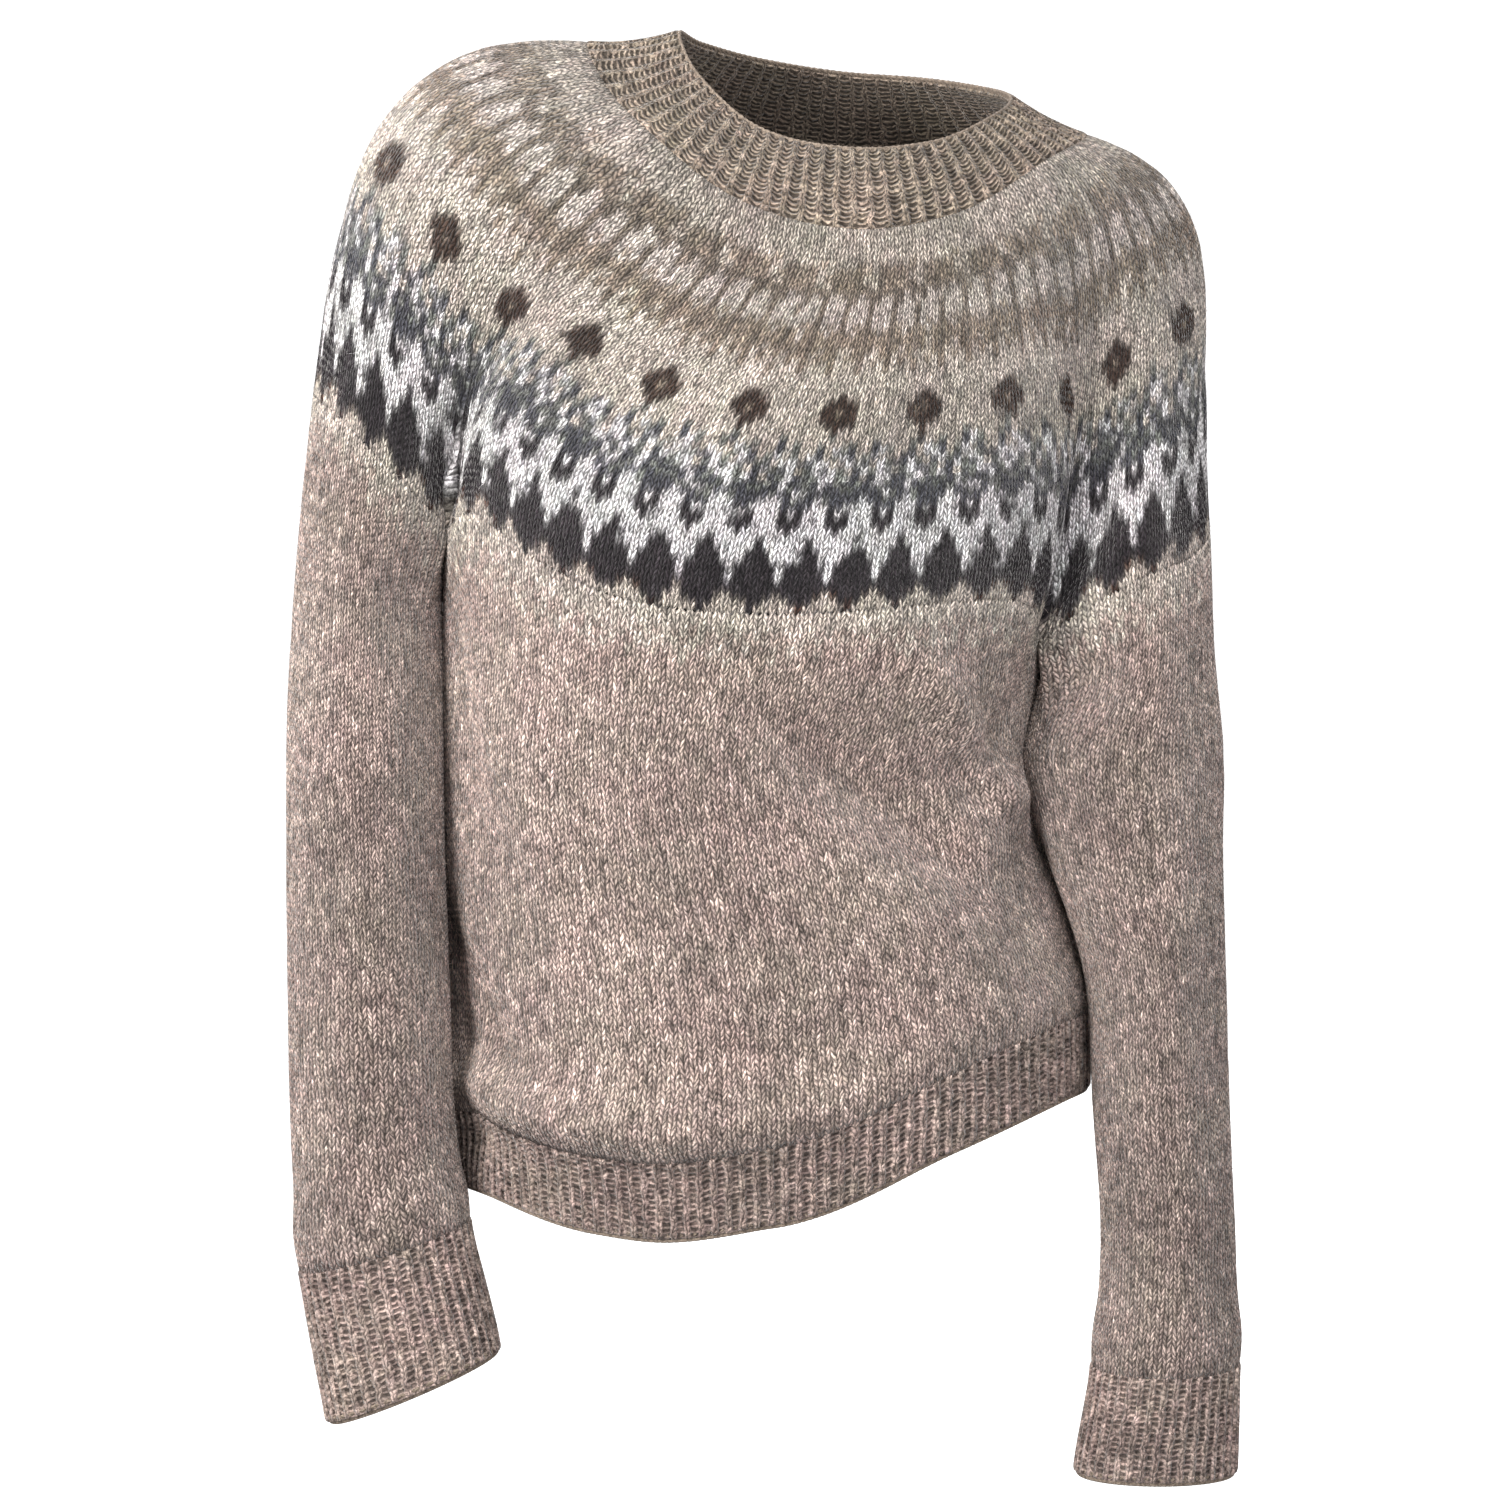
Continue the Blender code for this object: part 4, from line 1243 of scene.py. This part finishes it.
class Knitting:
    """A closed tube of knitted cloth, built ring by ring: outer wall down, inner wall up."""

    def __init__(self, name, cloth, slant=0.0):
        self.name, self.cloth, self.slant = name, cloth, slant
        self.rings, self.count = [], 0
        self.faces, self.uvs, self.colours, self.inner = [], [], [], []

    def ring(self, around, *place, **wall):
        self.rings.append(Ring(self.count, around, *place, **wall))
        self.count += len(around)

    def level(self, ring, stitch):
        """Course coordinate of a ring's points, slanted where the cloth itself is not."""
        if ring.inner:
            return np.full(np.shape(stitch), float(ring.course))
        off_middle = np.abs(np.mod(stitch, 1.0) - 0.5) * 2
        return ring.course + self.slant * (1 - ring.lean) * off_middle

    def strip(self, a, b, stitches, colours, inner=False):
        """Faces between ring a and the next one b, with a colour for each column of a."""
        n, m = len(a.around), len(b.around)
        if n == m:
            j = np.arange(n)
            k = (j + 1) % n
            corners = np.stack([a.first + j, b.first + j, b.first + k, a.first + k], 1)
            left = a.wale
            right = np.append(left[1:], stitches)
            sides = [(left, a), (left, b), (right, b), (right, a)]
            uv = np.stack([value for side, ring in sides for value in (side, self.level(ring, side))], 1)
            self.add(corners, uv.reshape(n, 4, 2), colours, inner)
            return
        i = j = 0
        corners, uv, share = [], [], []
        ua = np.append(a.around, 1.0 + a.around[0])
        ub = np.append(b.around, 1.0 + b.around[0])
        while i < n or j < m:
            share.append((ua[i] + ub[j]) / 2)
            corner, places = [a.first + i % n, b.first + j % m], [(ua[i], a), (ub[j], b)]
            if j >= m or (i < n and ua[i + 1] <= ub[j + 1]):
                i += 1
                corner.append(a.first + i % n)
                places.append((ua[i], a))
            else:
                j += 1
                corner.append(b.first + j % m)
                places.append((ub[j], b))
            corners.append(corner)
            uv.append([(u * stitches, self.level(ring, u * stitches)) for u, ring in places])
        chosen = (np.array(share) * len(colours)).astype(int) % len(colours)
        self.add(np.array(corners), np.array(uv), colours[chosen], inner)

    def add(self, corners, uv, colours, inner):
        self.faces.append(corners)
        self.uvs.append(uv)
        self.colours.append(colours)
        self.inner.append(np.full(len(corners), inner))

    def points(self):
        """Places and directions of all points, and what the node groups read."""
        fields = {key: [] for key in ("place", "out", "down", "wale", "course", "raise", "lean")}
        for ring in self.rings:
            count = len(ring.around)
            out = unit(self.cloth.at(self.cloth.out, ring.around, ring.along))
            place = self.cloth.at(self.cloth.points, ring.around, ring.along)
            if ring.inner:
                place = place - out * (gauge().cloth / CM)
            fields["place"].append(place * CM)
            fields["out"].append(out)
            fields["down"].append(self.cloth.at(self.cloth.down, ring.around, ring.along))
            fields["wale"].append(ring.wale)
            fields["course"].append(np.full(count, float(ring.course)))
            fields["raise"].append(np.full(count, 0.0 if ring.inner else ring.lift))
            fields["lean"].append(np.full(count, ring.lean))
        return {key: np.concatenate(value) for key, value in fields.items()}

    def mesh(self):
        fields = self.points()
        mesh = bpy.data.meshes.new(self.name)
        mesh.vertices.add(self.count)
        mesh.vertices.foreach_set("co", fields["place"].ravel())
        sizes = np.concatenate([np.full(len(f), f.shape[1]) for f in self.faces])
        corners = np.concatenate([f.ravel() for f in self.faces])
        mesh.loops.add(len(corners))
        mesh.loops.foreach_set("vertex_index", corners)
        mesh.polygons.add(len(sizes))
        mesh.polygons.foreach_set("loop_start", np.concatenate([[0], np.cumsum(sizes)[:-1]]))
        mesh.update(calc_edges=True)
        for name in ("out", "down"):
            layer = mesh.attributes.new(name, "FLOAT_VECTOR", "POINT")
            layer.data.foreach_set("vector", fields[name].ravel())
        for name in ("wale", "course", "raise", "lean"):
            layer = mesh.attributes.new(name, "FLOAT", "POINT")
            layer.data.foreach_set("value", fields[name])
        inner = mesh.attributes.new("inner_side", "BOOLEAN", "FACE")
        inner.data.foreach_set("value", np.concatenate(self.inner))
        uv = mesh.uv_layers.new(name="stitches")
        uv.data.foreach_set("uv", np.concatenate([u.reshape(-1, 2) for u in self.uvs]).ravel())
        each = np.repeat(np.concatenate(self.colours), sizes, axis=0)
        met = np.bincount(corners, minlength=self.count)
        mean = [np.bincount(corners, each[:, k], self.count) / met for k in range(3)]
        each = each + COLOUR_BLEED * (np.stack(mean, 1)[corners] - each)
        yarn = mesh.color_attributes.new("yarn", "FLOAT_COLOR", "CORNER")
        rgba = np.concatenate([np.clip(each, 0.0, 1.0), np.ones((len(each), 1))], 1)
        yarn.data.foreach_set("color", rgba.ravel())
        mesh.shade_smooth()
        return mesh


def close_tube(knitting, columns, stitches, bands):
    """Adds the inner wall, from the bottom up, and joins it to the outer wall at both ends."""
    around = np.arange(columns) / columns
    first = len(knitting.rings)
    courses = knitting.rings[-1].course
    for i in range(INNER_ROWS, -1, -1):
        along = i / INNER_ROWS
        knitting.ring(around, along, around * stitches, along * courses, inner=True)
    rings = knitting.rings
    knitting.strip(rings[first - 1], rings[first], stitches, bands[-1][-1].mean(axis=1))
    ground = np.concatenate([band.mean(axis=(1, 2)) for band in bands])
    for a, b in zip(rings[first:], rings[first + 1 :]):
        row = min(int(b.along * len(ground)), len(ground) - 1)
        knitting.strip(a, b, stitches, np.tile(ground[row], (columns, 1)), True)
    knitting.strip(rings[-1], rings[0], stitches, np.tile(ground[0], (columns, 1)))


def knit_stockinette(name, cloth, chart, seed, shade, top_lean=1.0, low_lean=1.0):
    """Knits a tube in bands of stocking stitch from charts of yarns."""
    rng = np.random.default_rng(seed)
    knitting = Knitting(name, cloth, STITCH_SLANT)
    charts = [(stitches, rows.split()) for stitches, rows in chart]
    total = sum(len(rows) for _, rows in charts)
    ends = {0: top_lean, total: low_lean}
    course, bands, last = 0, [], None
    for index, (stitches, rows) in enumerate(charts):
        legs = heather(ragged(charted(rows, stitches), rng), rng, shade)
        bands.append(legs)
        column = np.arange(stitches * POINTS_PER_STITCH)
        around, wale = column / len(column), column / POINTS_PER_STITCH
        leg, stitch = (column // 2) % 2, column // POINTS_PER_STITCH
        for row in range(len(rows) + (index == len(charts) - 1)):
            lean = SEAM_LEAN.get(row, 1.0) if index else 1.0
            if index < len(charts) - 1:
                lean = min(lean, SEAM_LEAN.get(len(rows) - 1 - row, lean))
            place = course + row
            lean = ends.get(place, lean)
            lift = SEAM_LIFT + (1 - SEAM_LIFT) * lean
            knitting.ring(around, place / total, wale, place, lean=lean, lift=lift)
            if row:
                last = (stitches, legs[row - 1][stitch, leg])
            if last is not None:
                knitting.strip(*knitting.rings[-2:], *last)
        last = (stitches, legs[len(rows) - 1][stitch, leg])
        course += len(rows)
    close_tube(knitting, 2 * stitches, stitches, bands)
    return place_piece(knitting.mesh(), name)


def knit_rib(name, cloth, ribs, courses, seed, yarn):
    """Knits a tube in one-and-one rib."""
    rng = np.random.default_rng(seed)
    knitting = Knitting(name, cloth)
    legs = heather(np.tile(yarn_colour(yarn), (courses, ribs, 1)), rng, FIRM_SHADE)
    part = np.array(RIB_POINTS)
    wale = (np.arange(ribs)[:, None] + part).ravel()
    leg = np.tile((part >= SECOND_LEG).astype(int), ribs)
    rib = np.repeat(np.arange(ribs), len(part))
    for half in range(2 * courses + 1):
        lift = RIB_END_LIFT if half in (0, 2 * courses) else 1.0
        knitting.ring(wale / ribs, half / 2 / courses, wale, half / 2, lift=lift)
        if half:
            knitting.strip(*knitting.rings[-2:], ribs, legs[(half - 1) // 2][rib, leg])
    close_tube(knitting, 2 * ribs, ribs, [legs])
    return place_piece(knitting.mesh(), name)


def place_piece(mesh, name):
    piece = bpy.data.objects.new(name, mesh)
    bpy.context.scene.collection.objects.link(piece)
    return piece


def add_fuzz(piece, seed):
    """Loose fibres over a finished wall."""
    fuzz = place_piece(piece.data.copy(), piece.name + "_fuzz")
    run_group(
        fuzz,
        "loose_fibres",
        fibres_per_square_metre=gauge().fibres,
        longest_fibre=gauge().fibre_length,
        fibre_radius=gauge().fibre_radius,
        seed=seed,
        wool=material_of("wool_fibre"),
    )
    for layer in list(fuzz.data.uv_layers):
        fuzz.data.uv_layers.remove(layer)
    for name in [a.name for a in fuzz.data.attributes if a.name in ("inner_side", "wale", "UVMap")]:
        fuzz.data.attributes.remove(fuzz.data.attributes[name])
    return fuzz


def add_cast_off(name, cloth, along, links):
    """A chain of cast-off loops along one edge of a tube."""
    around = np.arange(CHAIN_POINTS) / CHAIN_POINTS
    out = unit(cloth.at(cloth.out, around, along))
    line = cloth.at(cloth.points, around, along) - out * (gauge().cloth / CM) / 2
    inwards = -CHAIN_INSET if along else CHAIN_INSET
    line = line + cloth.at(cloth.down, around, along) * inwards
    mesh = bpy.data.meshes.new(name)
    edges = [(i, (i + 1) % CHAIN_POINTS) for i in range(CHAIN_POINTS)]
    mesh.from_pydata((line * CM).tolist(), edges, [])
    chain = place_piece(mesh, name)
    run_group(
        chain,
        "cast_off_chain",
        links=links,
        link_length=LINK_OVERLAP * cloth.girth / links * CM,
        link_width=gauge().cloth * LINK_WIDTH,
        yarn_radius=CHAIN_YARN * CM,
        tilt=LINK_TILT,
        wool=material_of("wool_cast_off"),
    )
    return chain


def finish_piece(piece, node, more):
    """Drops a knitted piece's working values, ties it and its extra parts to the root, and hides its frame
    node.
    """
    for name in ("out", "down", "wale", "course", "raise", "lean"):
        piece.data.attributes.remove(piece.data.attributes[name])
    for part in (piece, *more):
        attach(part, GROUP)
    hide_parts(node)


def plain_piece(name, cloth, chart, seed, wool, shade=PLAIN_SHADE, **ends):
    """Knits a tube of stocking stitch with its loose fibres."""
    piece = knit_stockinette(name + "_knit", cloth, chart, seed, shade, **ends)
    run_group(
        piece,
        "stocking_stitch",
        leg_height=gauge().leg_height,
        slant=gauge().slant,
        unevenness=gauge().uneven,
        wool=material_of(wool),
        inside=material_of("wool_wrong_side"),
    )
    finish_piece(piece, name, [add_fuzz(piece, seed + 1)])


def ribbed_piece(name, node, cloth, ribs, courses, seed, yarn, wool, along=1.0):
    """Knits a ribbed band with the chain of its cast-off edge and its loose fibres."""
    piece = knit_rib(name + "_knit", cloth, ribs, courses, seed, yarn)
    run_group(
        piece,
        "rib_stitch",
        rib_height=gauge().rib_height,
        groove_depth=gauge().groove,
        bar_height=gauge().bar,
        unevenness=gauge().uneven,
        wool=material_of(wool),
        inside=material_of(wool),
    )
    edge = add_cast_off(name + "_edge", cloth, along, 2 * ribs)
    finish_piece(piece, node, [edge, add_fuzz(piece, seed + 1)])


# ---------------------------------------------------------------- settings


def size(name, description, default):
    """A size of the cloth or its stitches, in metres."""
    return bpy.props.FloatProperty(
        name=name, description=description, default=default, min=0.0, precision=5, unit="LENGTH"
    )


class SweaterGauge(bpy.types.PropertyGroup):
    """Sizes of the cloth and its stitches"""

    cloth: size("Cloth", "Thickness of the knitted cloth", 0.0030)
    leg_height: size("Stitch relief", "Height of a stitch over the gaps", 0.00055)
    slant: size("Stitch slant", "Rise of a stitch's legs to its sides", 0.0026)
    rib_height: size("Rib height", "Height of the knit columns of a rib", 0.0010)
    groove: size("Rib groove", "Depth of the purl columns of a rib", 0.0010)
    bar: size("Purl bar", "Height of the bars in the purl columns", 0.00035)
    uneven: size("Unevenness", "How far the cloth wanders in and out", 0.0005)
    fibre_length: size("Fibre length", "Length of the longest fibres", 0.0060)
    fibre_radius: size("Fibre radius", "Radius of a fibre at its root", 0.000075)
    fibres: bpy.props.FloatProperty(
        name="Fibres", description="Loose fibres on a square metre of cloth", default=33000.0, min=0.0
    )


def wool_properties():
    """One colour for each yarn of the sweater."""
    return {
        name: bpy.props.FloatVectorProperty(
            name=name.capitalize(),
            description=label,
            size=3,
            min=0.0,
            max=1.0,
            subtype="COLOR_GAMMA",
            default=colour,
        )
        for name, label, colour in YARNS.values()
    }


class SweaterWool(bpy.types.PropertyGroup):
    """Colours of the yarns"""

    __annotations__ = wool_properties()


# ---------------------------------------------------------------- operators


def fine():
    return np.linspace(0.0, 1.0, FINE_SAMPLES)


class SWEATER_OT_neckband(bpy.types.Operator):
    """Knit the ribbed neckband with its cast-off edge"""

    bl_idname = "sweater.neckband"
    bl_label = "Neckband"

    def execute(self, context):
        count = NECK_RIBS * POINTS_PER_RIB
        cloth = Cloth(neckband_columns(np.arange(count) * 360.0 / count, fine()))
        wool = "wool_stretched_rib"
        ribbed_piece("neckband", "neckband", cloth, NECK_RIBS, NECK_COURSES, 11, "t", wool, along=0.0)
        return {"FINISHED"}


class SWEATER_OT_yoke(bpy.types.Operator):
    """Knit the patterned round yoke"""

    bl_idname = "sweater.yoke"
    bl_label = "Yoke"

    def execute(self, context):
        cloth = creased(Cloth(yoke_columns(fine())), YOKE_CREASES)
        plain_piece("yoke", cloth, YOKE_CHART, 21, "wool_stranded", FIRM_SHADE, top_lean=0.0)
        return {"FINISHED"}


class SWEATER_OT_body(bpy.types.Operator):
    """Knit the body and its ribbed hem"""

    bl_idname = "sweater.body"
    bl_label = "Body and hem"

    def execute(self, context):
        angles = body_angles()
        cloth = Cloth(body_columns(angles, fine()))
        plain_piece("body", cloth, PLAIN_CHART["body"], 31, "wool_heather", low_lean=0.0)
        cloth = Cloth(hem_columns(angles, fine()))
        ribbed_piece("hem", "hem_rib", cloth, HEM_RIBS, HEM_COURSES, 33, "u", "wool_relaxed_rib")
        return {"FINISHED"}


class SWEATER_OT_sleeves(bpy.types.Operator):
    """Knit both sleeves and their ribbed cuffs"""

    bl_idname = "sweater.sleeves"
    bl_label = "Sleeves and cuffs"

    def execute(self, context):
        for seed, side in ((41, "right"), (51, "left")):
            cloth = Cloth(sleeve_columns(side, fine()))
            chart = PLAIN_CHART["sleeve"]
            plain_piece("sleeve_" + side, cloth, chart, seed, "wool_heather", low_lean=0.0)
            cloth = Cloth(cuff_columns(side, fine()))
            name, courses, wool = "cuff_" + side, CUFF_COURSES[side], "wool_relaxed_rib"
            ribbed_piece(name, name, cloth, CUFF_RIBS, courses, seed + 2, "u", wool)
        return {"FINISHED"}


# The camera: its elevation in degrees, its distance and what it looks at in metres, its lens and
# sensor in millimetres, and the nearest and farthest that it sees
VIEW = {"elevation": 5.0, "distance": 2.0, "right": -0.0487, "up": -0.351}
LENS, SENSOR = 93.744, 36.0
NEAREST, FARTHEST = 0.05, 100.0
# The floor is a wide disc whose rim bends up into a backdrop
FLOOR = -1.05
SWEEP = 9.0
SWEEP_BEND = 4.0
SWEEP_HEIGHT = 9.0
SWEEP_RINGS = 19
SWEEP_TURNS = 96
FLOOR_GREY = (0.55, 0.55, 0.55, 1.0)
FLOOR_ROUGHNESS = 0.95
WHITE = (1.0, 1.0, 1.0, 1.0)
SKY = (0.97, 0.98, 1.0, 1.0)
SKY_POWER = 0.35
AIM = Vector((-0.04, 0.0, -0.35))
# Square lamps: name, place and width in metres, power in watts and colour
LAMPS = (
    ("key", (-1.15, -1.10, 0.05), 0.6, 27.0, (1.0, 0.99, 0.97)),
    ("top", (0.10, -0.94, 1.42), 0.8, 23.0, (1.0, 1.0, 1.0)),
    ("edge", (-1.80, -0.20, 0.50), 0.8, 9.0, (1.0, 1.0, 1.0)),
    ("front", (0.65, -1.9, -0.40), 0.8, 14.0, (0.99, 0.99, 1.0)),
    ("back", (0.9, 2.6, 0.10), 2.0, 50.0, (1.0, 1.0, 1.0)),
)


def add_floor():
    """A pale floor without an edge."""
    rise = np.radians(np.linspace(0.0, 90.0, SWEEP_RINGS))
    profile = [(SWEEP - SWEEP_BEND + SWEEP_BEND * np.sin(a), SWEEP_BEND * (1 - np.cos(a))) for a in rise]
    profile.append((SWEEP, SWEEP_HEIGHT))
    turns = np.arange(SWEEP_TURNS) * 2 * np.pi / SWEEP_TURNS
    points = [(0.0, 0.0, FLOOR)]
    points += [(r * np.sin(t), -r * np.cos(t), FLOOR + z) for r, z in profile for t in turns]
    sides = [(1 + i, 1 + (i + 1) % SWEEP_TURNS) for i in range(SWEEP_TURNS)]
    faces = [(0, a, b) for a, b in sides]
    for ring in range(len(profile) - 1):
        low, high = ring * SWEEP_TURNS, (ring + 1) * SWEEP_TURNS
        faces += [(a + low, a + high, b + high, b + low) for a, b in sides]
    mesh = bpy.data.meshes.new("floor")
    mesh.from_pydata(points, [], faces)
    mesh.shade_smooth()
    floor = place_piece(mesh, "floor")
    floor.visible_diffuse = floor.visible_shadow = floor.visible_glossy = False
    material = bpy.data.materials.new("floor_pale")
    material.use_nodes = True
    shader = material.node_tree.nodes["Principled BSDF"]
    shader.inputs["Base Color"].default_value = FLOOR_GREY
    shader.inputs["Roughness"].default_value = FLOOR_ROUGHNESS
    shader.inputs["Emission Color"].default_value = WHITE
    shader.inputs["Emission Strength"].default_value = 1.0
    mesh.materials.append(material)


def place_aimed(name, data, place, ahead):
    """Puts a lamp or the camera at its place, looking ahead."""
    made = bpy.data.objects.new(name, data)
    made.location = place
    made.rotation_mode = "QUATERNION"
    made.rotation_quaternion = ahead.to_track_quat("-Z", "Y")
    bpy.context.scene.collection.objects.link(made)
    return made


class SWEATER_OT_stage(bpy.types.Operator):
    """Add the pale floor, the soft light and the camera"""

    bl_idname = "sweater.stage"
    bl_label = "Floor, light and camera"

    def execute(self, context):
        scene = context.scene
        add_floor()
        scene.world = bpy.data.worlds.new("studio")
        scene.world.use_nodes = True
        sky = scene.world.node_tree.nodes["Background"]
        sky.inputs[0].default_value, sky.inputs[1].default_value = SKY, SKY_POWER
        for name, place, width, power, colour in LAMPS:
            data = bpy.data.lights.new(name, "AREA")
            data.size, data.energy, data.color = width, power, colour
            place_aimed(name, data, place, AIM - Vector(place))
        data = bpy.data.cameras.new("camera")
        data.lens, data.sensor_width = LENS, SENSOR
        data.clip_start, data.clip_end = NEAREST, FARTHEST
        tilt = np.radians(VIEW["elevation"])
        back = Vector((0.0, -np.cos(tilt), np.sin(tilt)))
        up = Vector((0.0, np.sin(tilt), np.cos(tilt)))
        place = Vector((VIEW["right"], 0, 0)) + up * VIEW["up"] + back * VIEW["distance"]
        scene.camera = place_aimed("camera", data, place, -back)
        scene.view_settings.view_transform = "Standard"
        return {"FINISHED"}


class SWEATER_PT_panel(bpy.types.Panel):
    """Lists the pieces of the sweater and its settings"""

    bl_label = "Sweater"
    bl_idname = "SWEATER_PT_panel"
    bl_space_type = "VIEW_3D"
    bl_region_type = "UI"
    bl_category = "Sweater"

    def draw(self, context):
        layout = self.layout
        for group in (context.scene.sweater_gauge, context.scene.sweater_wool):
            box = layout.box()
            for name in group.__annotations__:
                box.prop(group, name)
        for operator in OPERATORS:
            layout.operator(operator.bl_idname)


OPERATORS = (
    SWEATER_OT_neckband,
    SWEATER_OT_yoke,
    SWEATER_OT_body,
    SWEATER_OT_sleeves,
    SWEATER_OT_stage,
)
CLASSES = (SweaterGauge, SweaterWool, *OPERATORS, SWEATER_PT_panel)


def register():
    for kind in CLASSES:
        bpy.utils.register_class(kind)
    bpy.types.Scene.sweater_gauge = bpy.props.PointerProperty(type=SweaterGauge)
    bpy.types.Scene.sweater_wool = bpy.props.PointerProperty(type=SweaterWool)


def unregister():
    del bpy.types.Scene.sweater_wool
    del bpy.types.Scene.sweater_gauge
    for kind in reversed(CLASSES):
        bpy.utils.unregister_class(kind)


def main():
    register()
    bpy.ops.sweater.neckband()
    bpy.ops.sweater.yoke()
    bpy.ops.sweater.body()
    bpy.ops.sweater.sleeves()
    bpy.ops.sweater.stage()


if __name__ == "__main__":
    main()
